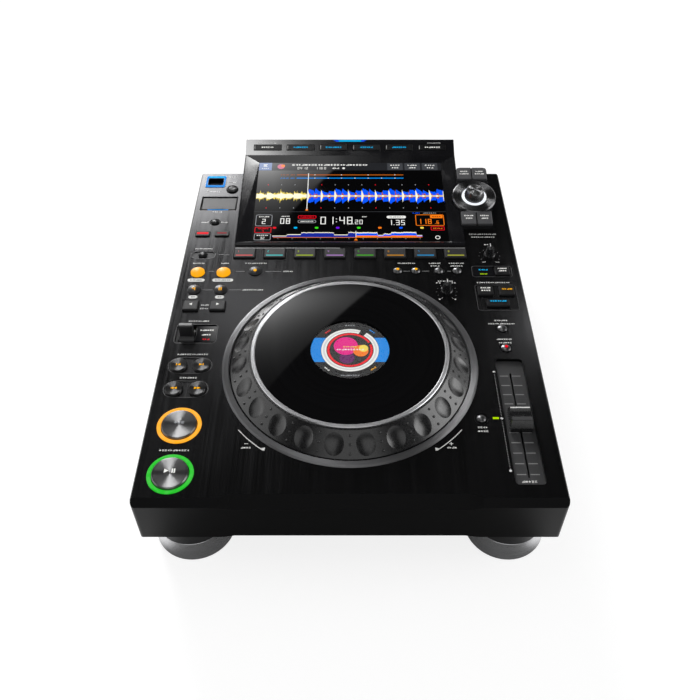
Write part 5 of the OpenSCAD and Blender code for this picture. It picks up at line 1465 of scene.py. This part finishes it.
@dataclass
class RightSide:
    """Knobs, keys, windows and the tempo fader to the right of the jog wheel.

    Ticks stand every 30 degrees round a knob, with a long one at the start, middle and end.
    """

    speed: Flat = (138.0, 56.0)
    adjust: Flat = (91.3, 4.0)
    knob_top: float = 105.0
    ticks: int = 11
    long_ticks: tuple[int, ...] = (0, 5, 10)
    key_top: float = 95.5
    sync_x: Flat = (128.0, 148.0)
    mode_x: float = 147.5
    mode_window: Point = (129.7, 33.0, 92.8)
    fader: Flat = (137.2, -148.5)
    floor: float = 90.0
    cap_top: float = 102.0
    majors: tuple[float, ...] = (-98.5, -109.0, -119.0, -129.0, -158.5, -168.5, -178.5, -188.5,
                                 -198.5)
    minor_step: float = 2.05
    dashes_x: float = 123.3
    middle_y: float = -146.5

    def knobs(self) -> None:
        """The two small knobs with their pointer lines and tick circles."""
        dress(speed_adjust_knob=KNOB_BLACK, jog_adjust_knob=KNOB_BLACK)
        prints = Inks("knob_ticks")
        for (x, y), node, radius in ((self.speed, "speed_adjust_knob", 9.6),
                                     (self.adjust, "jog_adjust_knob", 9.1)):
            pointer = Inks(f"{node}_line", node, level(self.knob_top))
            pointer.put(Ink.SILVER, line((x, y + 0.4), (x, y + 5.0), 0.7)).build()
            for i in range(self.ticks):
                turn = math.radians(-60 + 30 * i)
                long = i in self.long_ticks
                start, end = (tuple((x + r * math.cos(turn), y + r * math.sin(turn)))
                              for r in (radius, radius + (1.8 if long else 1.0)))
                prints.put(Ink.SILVER if long else Ink.GREY, line(start, end, 0.42))
        for x in (131.5, 145.2):
            prints.put(Ink.SILVER, plate(3.2, 0.6, 0, (x, 46.6)))
        for x, start in ((84.4, 3), (99.0, 5)):
            prints.put(Ink.SILVER, row(5.6, 2.2, (x, 16.5), start))
        prints.put(Ink.SILVER, [disc(0.8, (x, -6.2)) for x in (84.0, 98.6)])
        prints.build()

    def keys(self) -> None:
        """Jog-mode key and window, sync keys, and the two tempo buttons."""
        dress(jog_mode_key=KEY_RUBBER, sync_keys=KEY_RUBBER, tempo_keys=CHROME_KEYS)
        top = level(self.key_top)
        mode = row(9.0, 1.9, (self.mode_x, 34.6), 1) + row(7.5, 1.9, (self.mode_x, 31.2), 4)
        Inks("jog_mode_mark", "jog_mode_key", top).put(Ink.WHITE, mode).build()
        beat, tempo = self.sync_x
        sync = Inks("sync_mark", "sync_keys", top)
        sync.put(Ink.WHITE, row(9.5, 2.0, (beat, 7.0), 2) + row(9.0, 2.0, (beat, 3.4), 0))
        sync.put(Ink.AMBER, row(10.5, 2.4, (tempo, 5.4), 5))
        sync.put(Ink.CYAN, row(15.5, 2.2, (137.8, -11.0), 3)).build()
        window = Inks("mode_mark", surface=Surface(self.mode_window))
        window.put(Ink.CYAN, row(9.0, 2.2, (-0.2, 2.7), 2))
        window.put(Ink.LIME, row(7.6, 2.0, (-0.2, -3.4), 6)).build()
        tempo_dot = Inks("tempo_mark", "tempo_keys", level(95.4), 0.1)
        tempo_dot.put(Ink.RED, disc(1.5, (137.5, -68.5))).build()

    def slider(self) -> None:
        """Tray scale, dashed line beside it, middle light and the cap's white line."""
        dress(fader_plate=FADER_PLATE, tempo_fader_cap=KNOB_BLACK)
        x, middle = self.fader
        cap = Inks("tempo_fader_cap_line", "tempo_fader_cap", level(self.cap_top))
        cap.put(Ink.SILVER, plate(16.0, 1.2, 0, (137.55, middle + 6.2)))
        cap.put(Ink.DIM, plate(16.0, 3.4, 0.8, (137.55, middle - 4.9))).build()
        scale = Inks("tempo_scale", surface=level(self.floor))
        for y in self.majors:
            for side in (-1, 1):
                scale.put(Ink.GREY, plate(7.4, 0.85, 0, (x + side * 5.2, y)))
        for y in np.arange(-99.5 - self.minor_step, -197.0, -self.minor_step):
            if abs(y - middle) > 4 and min(abs(y - m) for m in self.majors) > 1.3:
                for side in (-1, 1):
                    scale.put(Ink.DIM, plate(6.2, 0.5, 0, (x + side * 4.6, y)))
        scale.put(Ink.SILVER, row(12.0, 2.3, (x, -205.0), 4))
        deck = Surface()
        for y in np.arange(-99.0, -195.6, -1.6):
            if abs(y - self.middle_y) > 2.2:
                scale.put(Ink.GREY, plate(0.6, 0.8, 0, (self.dashes_x, y)), surface=deck)
        ends = [plate(1.8, 1.4, 0, (123.2, -96.2)), disc(1.1, (self.dashes_x, -197.0))]
        ends += Mark.DIAMOND.shapes(2.8, (self.dashes_x, self.middle_y))
        scale.put(Ink.SILVER, ends, surface=deck)
        scale.put(Ink.LIME, plate(5.0, 2.0, 0.3, (118.5, -146.3)), surface=level(93.2))
        scale.build()

    def build(self) -> None:
        """Builds every group of the side."""
        for group in (self.knobs, self.keys, self.slider):
            group()


@dataclass
class Selector:
    """Selector pod: four keys, spun plate, lit ring and the knurled knob."""

    tilt: float = 10.6
    key_x: float = 8.15
    key_y: Flat = (32.2, -30.7)
    key_lift: float = 0.68
    knob_radius: float = 7.4
    knob_top: float = 9.5

    def build(self) -> None:
        """Dresses the pod and lays the marks on its keys and the spun face on its knob."""
        dress(selector_pod=POD, selector_plate=SPUN_BLACK, selector_keys=POD_KEY,
              selector_shaft=SHAFT_STEEL, selector_knob=KNOB_METAL)
        top = tilted(POD_CENTRE, self.tilt)
        marks = Inks("selector_mark", "selector_keys", top, self.key_lift)
        for j, (y, widths) in enumerate(zip(self.key_y, ((8.0, 10.0), (9.5, 7.0)))):
            for i, x in enumerate((-self.key_x, self.key_x)):
                for k, width in enumerate(widths):
                    marks.put(Ink.WHITE, row(width, 1.9, (x, y + 2.4 - 3.6 * k), i + 2 * j + k))
        marks.build()
        knob = Stamp("selector_knob_face", SPUN_KNOB, "selector_knob", "knob_black")
        knob.put(disc(self.knob_radius, sides=64), top, self.knob_top + 0.05).build()


# ---- display -----------------------------------------------------------------------------------


@dataclass
class Screen:
    """Display: its housing, its six keys, the lit bar and the picture on the glass.

    Places on the glass are (u, v): u to the right and v up the slope, from its front left corner.
    """

    width: float = 200.0
    corner: Point = (-100.0, 78.0, 93.6)
    slope: float = 5.34
    header_v: float = 116.2
    playhead: float = 54.8
    beat: float = 14.4
    wave_v: float = 68.0
    wave_half: float = 14.0
    overview_v: float = 6.0
    overview_cut: float = 106.0
    strip_ridge: Flat = (208.0, 110.0)
    strip_angle: float = 23.39
    strip_pitch: float = 36.6
    strip_in: float = 9.68

    def housing(self) -> None:
        """Dresses the housing, the glass and the keys, and lays the marks on the keys, with a
        painted highlight along each key's left edge.
        """
        dress(screen_housing=HOUSING, display_panel=SCREEN_GLASS, browse_keys=STRIP_RUBBER)
        marks = Inks("strip_mark", "browse_keys", self.strip(self.strip_in), 0.66)
        for i in range(6):
            x = (i - 2.5) * self.strip_pitch
            words = row(14.0 + 2 * (i % 3), 2.3, (x, 0.0), i)
            marks.put(Ink.WHITE if i in (0, 5) else Ink.CYAN, words)
            # Thin silver line at each key's left edge: a painted rim highlight.
            marks.put(Ink.SILVER, plate(0.5, 5.0, 0, (x - 14.3, -0.2)))
        marks.build()

    def strip(self, along: float) -> Surface:
        """The key strip, with its origin in the middle.

        Args:
            along: how far up from the ridge the origin is.

        Returns:
            The face.
        """
        turn, (y, z) = math.radians(self.strip_angle), self.strip_ridge
        at = (0.0, y + along * math.cos(turn), z + along * math.sin(turn))
        return tilted(at, self.strip_angle)

    def light_bar(self) -> None:
        """Lit bar along the rear edge of the strip: a cyan core between two blue ends."""
        lights = Inks("light_bar", surface=self.strip(18.4), lift=0.1, gloss=0.3)
        lights.put(Ink.CYAN, plate(25.0, 2.0))
        lights.put(Ink.BLUE, mirrored(np.array([(12.5, -1.0), (15.0, -1.0), (18.5, 1.0),
                                                (12.5, 1.0)])))
        for x, width in ((-93.0, 22.0), (93.5, 15.0)):
            lights.put(Ink.SILVER, row(width, 1.7, (x, 0.0), 2), 0.06, self.strip(15.6))
        lights.build()

    def header(self, inks: Inks) -> None:
        """Bar over the picture: pictogram box, cover patch, two rows of marks, three boxes.

        Args:
            inks: the display's inks.
        """
        v = self.header_v
        inks.put(Ink.BAR, plate(self.width, 12.5, 0, (100.0, v)), 0.03)
        inks.put(Ink.STEEL, plate(14.0, 12.5, 0, (7.0, v)))
        box = Mark.BARS.shapes(4.2, (7.0, 118.0)) + row(8.0, 1.8, (7.0, 113.0), 3)
        inks.put(Ink.WHITE, box, 0.07)
        inks.put(Ink.PINK, disc(4.0, (24.2, v)))
        inks.put(Ink.ORANGE, disc(2.2, (26.2, 117.4)), 0.07)
        words = row(84.0, 3.4, (78.0, 119.0), 2) + row(8.0, 3.0, (84.0, 113.4), 5)
        words += number("04:12", 3.7, (48.0, 113.4)) + number("118.0", 3.7, (68.0, 113.4))
        words.append(disc(1.5, (93.0, 113.4)))
        for i, u in enumerate((149.5, 168.5, 187.7)):
            inks.put(Ink.SLATE, plate(17.0, 11.6, 1.0, (u, v)))
            words += row(11.0, 2.4, (u, 118.4), i) + row(8.0, 2.4, (u, 114.2), i + 3)
        inks.put(Ink.WHITE, words, 0.07)

    def phrases(self, inks: Inks) -> None:
        """Orange and blue lines with dots and small captions, and the dots round the waveform.

        Args:
            inks: the display's inks.
        """
        for v, ink, step in ((102.3, Ink.RUST, 29.0), (96.9, Ink.SKY, 14.5)):
            words = row(9.0, 1.6, (29.0, v), 2) + row(5.0, 1.6, (37.5, v), 4)
            inks.put(ink, [plate(116.0, 1.3, 0, (100.0, v)), *words], 0.04)
            for u in np.arange(self.playhead + 7, 158.0, step):
                inks.put(Ink.WHITE, disc(0.62, (u, v), 8), 0.07)
        for v in (86.0, 49.5):
            for i in range(13):
                ink = Ink.SOFT_WHITE if i % 4 else Ink.RED
                inks.put(ink, plate(0.75, 1.5, 0, (12.0 + self.beat * i, v)), 0.04)

    def waveform(self, inks: Inks) -> None:
        """Scrolling waveform, mirrored about its middle line.

        Left of the playhead its half height is a cream hull with yellow tips. Right of it, each
        half beat is a blue lobe that rises at once and falls off slowly, with a rust core and a
        cream wedge at its start.

        Args:
            inks: the display's inks.
        """
        rng = np.random.default_rng(5)
        u = np.arange(0.4, self.width - 0.2, 0.4)
        beat = (u - self.playhead) % self.beat / self.beat
        half = (u - self.playhead) % (self.beat / 2) / (self.beat / 2)
        swell = 0.8 + 0.2 * np.sin(0.23 * u)
        rough = rng.uniform(0.4, 1.0, len(u))
        played = u < self.playhead - 0.6
        hull = 1.6 + 3.6 * rough * np.exp(-2.6 * beat) + 1.6 * np.sin(0.31 * u) ** 2
        tips = hull + 4.6 * rng.uniform(0.0, 1.0, len(u)) ** 3 + 2.2 * np.exp(-6.0 * half)
        lobes = (4.6 + 10.0 * np.minimum(1.0, 6.0 * half) * np.exp(-0.9 * half)) * swell
        lobes = lobes * rng.uniform(0.88, 1.0, len(u))
        core = 1.0 + 10.5 * np.exp(-3.0 * half) * np.abs(np.sin(0.9 * u)) * rough
        trace = 0.6 + (9.4 * np.maximum(0.0, 1.0 - 3.0 * half)
                       * (0.55 + 0.45 * np.cos(FULL_TURN * beat)))
        for ink, height, keep, lift in (
                (Ink.YELLOW, tips, played, 0.04), (Ink.CREAM, hull, played, 0.06),
                (Ink.BLUE, lobes, ~played, 0.04), (Ink.RUST, core, ~played, 0.06),
                (Ink.CREAM, trace, ~played, 0.08)):
            height = np.minimum(height[keep], self.wave_half)
            self.ribbon(inks, ink, u[keep], self.wave_v - height, self.wave_v + height, lift)
        inks.put(Ink.WHITE, plate(0.8, 58.0, 0, (self.playhead, 75.8)), 0.1)
        inks.put(Ink.ORANGE, plate(2.4, 2.4, 0, (self.playhead, 46.4)), 0.1)
        inks.put(Ink.SLATE, plate(self.width, 0.4, 0, (100.0, 43.6)), 0.04)
        inks.put(Ink.BLUE, row(8.0, 1.8, (169.0, 41.6), 1), 0.04)
        inks.put(Ink.SOFT_WHITE, row(14.0, 1.8, (183.0, 41.6), 4), 0.04)

    def ribbon(self, inks: Inks, ink: Ink, u: np.ndarray, low: np.ndarray, high: np.ndarray,
               lift: float) -> None:
        """Adds a plate in an ink between two curves over u, with its top at a lift."""
        edges = (np.stack([u, v], 1) for v in (high, low))
        inks.stamp(ink).band(*edges, inks.surface, lift, closed=False)

    def numbers(self, inks: Inks) -> None:
        """Framed figures at the left, time, tempo and beat figures.

        A frame is (ink, width, length, corner, middle, line width), a caption (ink, width, height,
        middle, first pictogram) and a figure (ink, text, height, middle, stroke).

        Args:
            inks: the display's inks.
        """
        inks.lift = 0.04
        for frame_sizes in (
                (Ink.SOFT_WHITE, 17.0, 17.0, 2.0, (11.0, 30.6), 0.6),
                (Ink.RED, 17.0, 8.2, 1.0, (11.0, 16.5), 0.6),
                (Ink.SOFT_WHITE, 17.0, 9.4, 1.4, (11.0, 6.4), 0.6),
                (Ink.RED, 19.0, 4.6, 1.6, (55.5, 35.6), 0.6),
                (Ink.SOFT_WHITE, 19.0, 4.6, 2.2, (55.5, 29.0), 0.6),
                (Ink.ORANGE, 29.5, 16.6, 1.6, (182.5, 31.0), 0.7),
                (Ink.RED, 14.0, 5.6, 1.0, (189.8, 18.8), 0.6)):
            inks.frame(*frame_sizes)
        inks.lift = 0.05
        for ink, *sizes in (
                (Ink.WHITE, 11.0, 1.9, (11.0, 36.0), 2), (Ink.RED, 11.0, 1.9, (11.0, 18.3), 5),
                (Ink.WHITE, 12.0, 1.9, (11.0, 8.6), 0), (Ink.WHITE, 9.0, 1.7, (33.0, 36.6), 4),
                (Ink.RED, 14.0, 1.9, (55.5, 35.6), 1), (Ink.WHITE, 14.0, 1.9, (55.5, 29.0), 4),
                (Ink.WHITE, 5.0, 1.7, (115.0, 36.0), 2),
                (Ink.ORANGE, 10.0, 2.0, (189.8, 18.8), 6)):
            inks.put(ink, row(*sizes))
        for ink, *sizes in (
                (Ink.WHITE, "2", 7.4, (11.0, 29.0)), (Ink.RED, "4", 3.2, (11.0, 14.8)),
                (Ink.WHITE, "32", 3.4, (11.0, 4.6)), (Ink.WHITE, "08", 8.2, (33.0, 29.6)),
                (Ink.WHITE, "01:48", 11.0, (86.0, 30.4), 0.09),
                (Ink.WHITE, ".20", 6.4, (108.0, 28.2), 0.1),
                (Ink.WHITE, "1.35", 7.4, (148.0, 27.4)),
                (Ink.ORANGE, "118", 7.4, (177.0, 29.0), 0.12),
                (Ink.ORANGE, ".6", 4.8, (189.6, 27.7), 0.13)):
            inks.put(ink, number(*sizes))
        inks.put(Ink.WHITE, ring(1.9, 2.6, (189.0, 5.6)))
        inks.put(Ink.WHITE, plate(20.0, 3.8, 1.9, (148.0, 35.6)), 0.04)
        inks.put(Ink.DARK, row(15.0, 1.8, (148.0, 35.6), 5), 0.06)
        inks.put(Ink.ORANGE, plate(13.0, 4.6, 1.0, (189.6, 36.2)))
        inks.put(Ink.DARK, row(9.0, 2.0, (189.6, 36.2), 3), 0.07)

    def overview(self, inks: Inks) -> None:
        """Small waveform of the whole track with its coloured markers.

        Its height is a row of steps, one for each part of the track, roughened a little.

        Args:
            inks: the display's inks.
        """
        rng = np.random.default_rng(9)
        u = np.arange(21.0, 173.8, 0.6)
        edges = (21, 36, 50, 84, 98, 103, 128, 134, 142, 152, 168, 175)
        heights = (1.4, 3.4, 6.2, 3.0, 6.8, 6.4, 2.6, 4.4, 6.6, 6.8, 2.4)
        parts = np.array(heights)[np.searchsorted(edges, u, side="right") - 1]
        tall = parts + rng.uniform(-0.5, 0.5, len(u)) * (parts > 4)
        low, cut = self.overview_v, self.overview_cut
        for ink, height, keep, lift in (
                (Ink.CREAM, tall + 0.7, u <= cut, 0.04), (Ink.NAVY, tall - 0.3, u <= cut, 0.06),
                (Ink.CREAM, tall + 0.5, u > cut, 0.04), (Ink.BLUE, tall * 0.86, u > cut, 0.06),
                (Ink.ORANGE, tall * 0.35, u > cut, 0.08)):
            height = height[keep]
            self.ribbon(inks, ink, u[keep], np.full(len(height), low), low + height, lift)
        inks.put(Ink.ORANGE, plate(150.0, 0.5, 0, (97.0, low - 0.5)), 0.05)
        inks.put(Ink.ORANGE, outline([(cut - 1.8, 1.4), (cut + 1.8, 1.4), (cut, 4.6)]), 0.06)
        inks.put(Ink.WHITE, plate(0.6, 9.0, 0, (cut, 10.4)), 0.1)
        for i in range(11):
            inks.put(Ink.SOFT_WHITE, plate(0.6, 1.0, 0, (27.0 + self.beat * i, 3.8)), 0.04)
        order = (Ink.RED, Ink.CYAN, Ink.GREEN, Ink.PURPLE, Ink.GREEN, Ink.ORANGE, Ink.BLUE,
                 Ink.YELLOW)
        for i, ink in enumerate(order):
            inks.put(ink, plate(3.6, 2.6, 1.1, (22.6 + 21.6 * i, 19.6)), 0.06)

    def build(self) -> None:
        """Builds the housing's marks, the lit bar and the picture."""
        self.housing()
        self.light_bar()
        inks = Inks("screen", surface=tilted(self.corner, self.slope), lift=0.05, gloss=0.04)
        for group in (self.header, self.phrases, self.waveform, self.numbers, self.overview):
            group(inks)
        inks.build()


# ---- studio ------------------------------------------------------------------------------------


@dataclass(frozen=True)
class Softbox:
    """Bright patch of the surroundings, in degrees of azimuth (0 behind, + right) and height."""

    low: float
    high: float
    left: float
    right: float
    level: float
    lean: float = 0.0
    pivot: float = 0.0
    soft: float = 4.0
    crisp: float = 0.6
    rise: Flat = (0.0, 0.0)
    side: Flat = (0.0, 0.0)

    def light(self, graph: Graph, azimuth: Any, height: Any) -> Any:
        """The patch's brightness by direction.

        It is the level times four soft edges. The right edge is crisp, and moves left by lean
        degrees for each degree above the pivot. Past the height rise[1] the level falls by
        exp(-rise[0]) a degree, and past the azimuth side[1] by exp(-side[0]) a degree.

        Args:
            graph: the world's graph.
            azimuth: azimuth of the direction, in degrees.
            height: its height over the horizon, in degrees.

        Returns:
            The brightness.
        """
        above = graph.math("SUBTRACT", height, self.pivot)
        edge = graph.add(azimuth, graph.times(above, self.lean))
        parts = [graph.spread(height, self.low - self.soft, self.low + self.soft),
                 graph.spread(height, self.high + self.soft, self.high - self.soft),
                 graph.spread(azimuth, self.left - self.soft, self.left + self.soft),
                 graph.spread(edge, self.right + self.crisp, self.right - self.crisp)]
        for (rate, start), place in ((self.rise, height), (self.side, azimuth)):
            if rate:
                past = graph.math("MAXIMUM", graph.math("SUBTRACT", place, start), 0.0)
                parts.append(graph.math("EXPONENT", graph.times(past, -rate)))
        value: Any = self.level
        for part in parts:
            value = graph.times(value, part)
        return value


@dataclass
class Studio:
    """Camera, floor, surroundings and lamps; a lamp is (name, place, size, watts), in metres."""

    camera_at: Point = (0.0, -0.5504, 0.6111)
    camera_down: float = 45.07
    lens: float = 41.286
    shift: float = -30.0 / 700.0
    aim: Point = (0.0, 0.0, 0.08)
    sensor: float = 36.0
    floor_half: float = 4.0
    floor_tone: float = 0.25
    floor_glow: float = 0.82
    gloss_glow: Flat = (0.05, 1.5)
    gloss_edge: Flat = (154.0, 172.0)
    ambient: float = 0.35
    overhead: float = 0.012
    lamps: Table = (("key lamp", (-0.6, 0.2, 1.8), 1.8, 6.6),
                    ("fill lamp", (0.9, -1.2, 1.2), 1.4, 2.2))
    boxes: tuple[Softbox, ...] = (
        Softbox(43.0, 62.0, -14.0, 3.0, 9.8, lean=1.62, pivot=42.2, soft=1.5, crisp=0.25,
                rise=(0.74, 43.2), side=(0.23, -7.7)),
        Softbox(9.0, 36.0, -28.0, -9.2, 24.0, soft=1.1, crisp=1.1),
        Softbox(70.0, 86.0, -75.0, -4.8, 9.4, lean=5.6, pivot=79.2, side=(0.15, -33.0)),
        Softbox(42.5, 47.0, 17.6, 20.6, 17.0, soft=0.6, crisp=0.6, rise=(2.4, 44.0)),
        Softbox(2.0, 40.0, -115.0, -62.0, 1.6, crisp=4.0),
        Softbox(5.0, 40.0, 70.0, 110.0, 5.0, crisp=4.0),
        Softbox(66.0, 82.0, -178.0, -135.0, 0.9),
        Softbox(25.0, 65.0, -190.0, -150.0, 1.2),
        Softbox(25.0, 65.0, 150.0, 190.0, 1.2))

    def add(self, name: str, data: Any) -> bpy.types.Object:
        """Puts a new object in the scene.

        Args:
            name: its name.
            data: its camera, light or mesh.

        Returns:
            The object.
        """
        made = bpy.data.objects.new(name, data)
        bpy.context.scene.collection.objects.link(made)
        return made

    def camera(self) -> None:
        """Camera that looks down on the player from the front."""
        data = bpy.data.cameras.new("camera")
        data.lens, data.sensor_width, data.shift_y = self.lens, self.sensor, self.shift
        data.clip_start, data.clip_end = 0.01, 100.0
        camera = self.add("camera", data)
        camera.location = self.camera_at
        camera.rotation_euler = (math.radians(90.0 - self.camera_down), 0.0, 0.0)
        bpy.context.scene.camera = camera

    def surroundings(self) -> None:
        """World: white to the camera and low down, soft boxes over a dark ceiling elsewhere."""
        world = bpy.data.worlds.new("studio surroundings")
        bpy.context.scene.world = world
        graph = Graph.fresh(world)
        path = graph.node("LightPath").outputs
        x, y, z = graph.parts(graph.node("TexCoord").outputs["Generated"])
        azimuth = graph.math("DEGREES", graph.math("ARCTAN2", x, y))
        height = graph.math("DEGREES", graph.math("ARCSINE", z))
        bright = graph.spread(height, 4.0, 20.0, 1.0, self.overhead)
        for box in self.boxes:
            bright = graph.add(bright, box.light(graph, azimuth, height))
        plain = graph.blend(path["Is Diffuse Ray"], bright, self.ambient)
        shown = graph.math("MAXIMUM", path["Is Camera Ray"], path["Is Transmission Ray"])
        background = graph.node("Background", {"Color": (1.0, 1.0, 1.0),
                                               "Strength": graph.blend(shown, plain, 1.0)})
        graph.node("OutputWorld", {"Surface": background.outputs[0]})

    def floor(self) -> None:
        """Pale floor that shows white, keeps the player's shadow and lights the feet's sides."""
        half = self.floor_half
        mesh = bpy.data.meshes.new("floor")
        mesh.from_pydata([(-half, -half, 0), (half, -half, 0), (half, half, 0), (-half, half, 0)],
                         [], [[0, 1, 2, 3]])
        paint = bpy.data.materials.new("studio floor")
        graph = Graph.fresh(paint)
        path = graph.node("LightPath").outputs
        shown = graph.math("MAXIMUM", path["Is Camera Ray"], path["Is Transmission Ray"])
        across = graph.math("ABSOLUTE", graph.parts(graph.place())[0])
        near, far = (edge * MM for edge in self.gloss_edge)
        in_gloss = graph.spread(across, near, far, *self.gloss_glow)
        glow = graph.add(graph.times(shown, self.floor_glow),
                         graph.times(path["Is Glossy Ray"], in_gloss))
        shader = graph.node("BsdfPrincipled", {
            "Base Color": (self.floor_tone,) * 3, "Roughness": 0.9, "Specular IOR Level": 0.0,
            "Emission Color": (1.0, 1.0, 1.0), "Emission Strength": glow})
        graph.node("OutputMaterial", {"Surface": shader.outputs[0]})
        mesh.materials.append(paint)
        floor = self.add("floor", mesh)

    def lamp(self, name: str, at: Point, size: float, watts: float) -> None:
        """Square soft lamp that looks at the player's middle and shows in no reflection.

        Args:
            name: its name.
            at: its place, in metres.
            size: length of its side, in metres.
            watts: its power.
        """
        data = bpy.data.lights.new(name, "AREA")
        data.size, data.energy = size, watts
        lamp = self.add(name, data)
        lamp.location = at
        x, y, z = np.array(self.aim) - at
        lamp.rotation_euler = (math.atan2(math.hypot(x, y), -z), 0.0,
                               math.atan2(y, x) - math.pi / 2)
        lamp.visible_glossy = False

    def build(self) -> None:
        """Sets up the whole studio."""
        bpy.context.scene.view_settings.view_transform = "Standard"
        self.camera()
        self.surroundings()
        self.floor()
        for lamp in self.lamps:
            self.lamp(*lamp)


# ---- order of work -----------------------------------------------------------------------------


def main() -> None:
    """Builds the studio and every sub-assembly in order."""
    logging.basicConfig(level=logging.INFO, format="%(name)s: %(message)s")
    Studio().build()
    case = Case()
    case.dress()
    case.prints()
    for assembly in (RearSide, JogArrows, JogWheel, LeftSide, HotCues, RightSide, Selector, Screen):
        assembly().build()


if __name__ == "__main__":
    main()
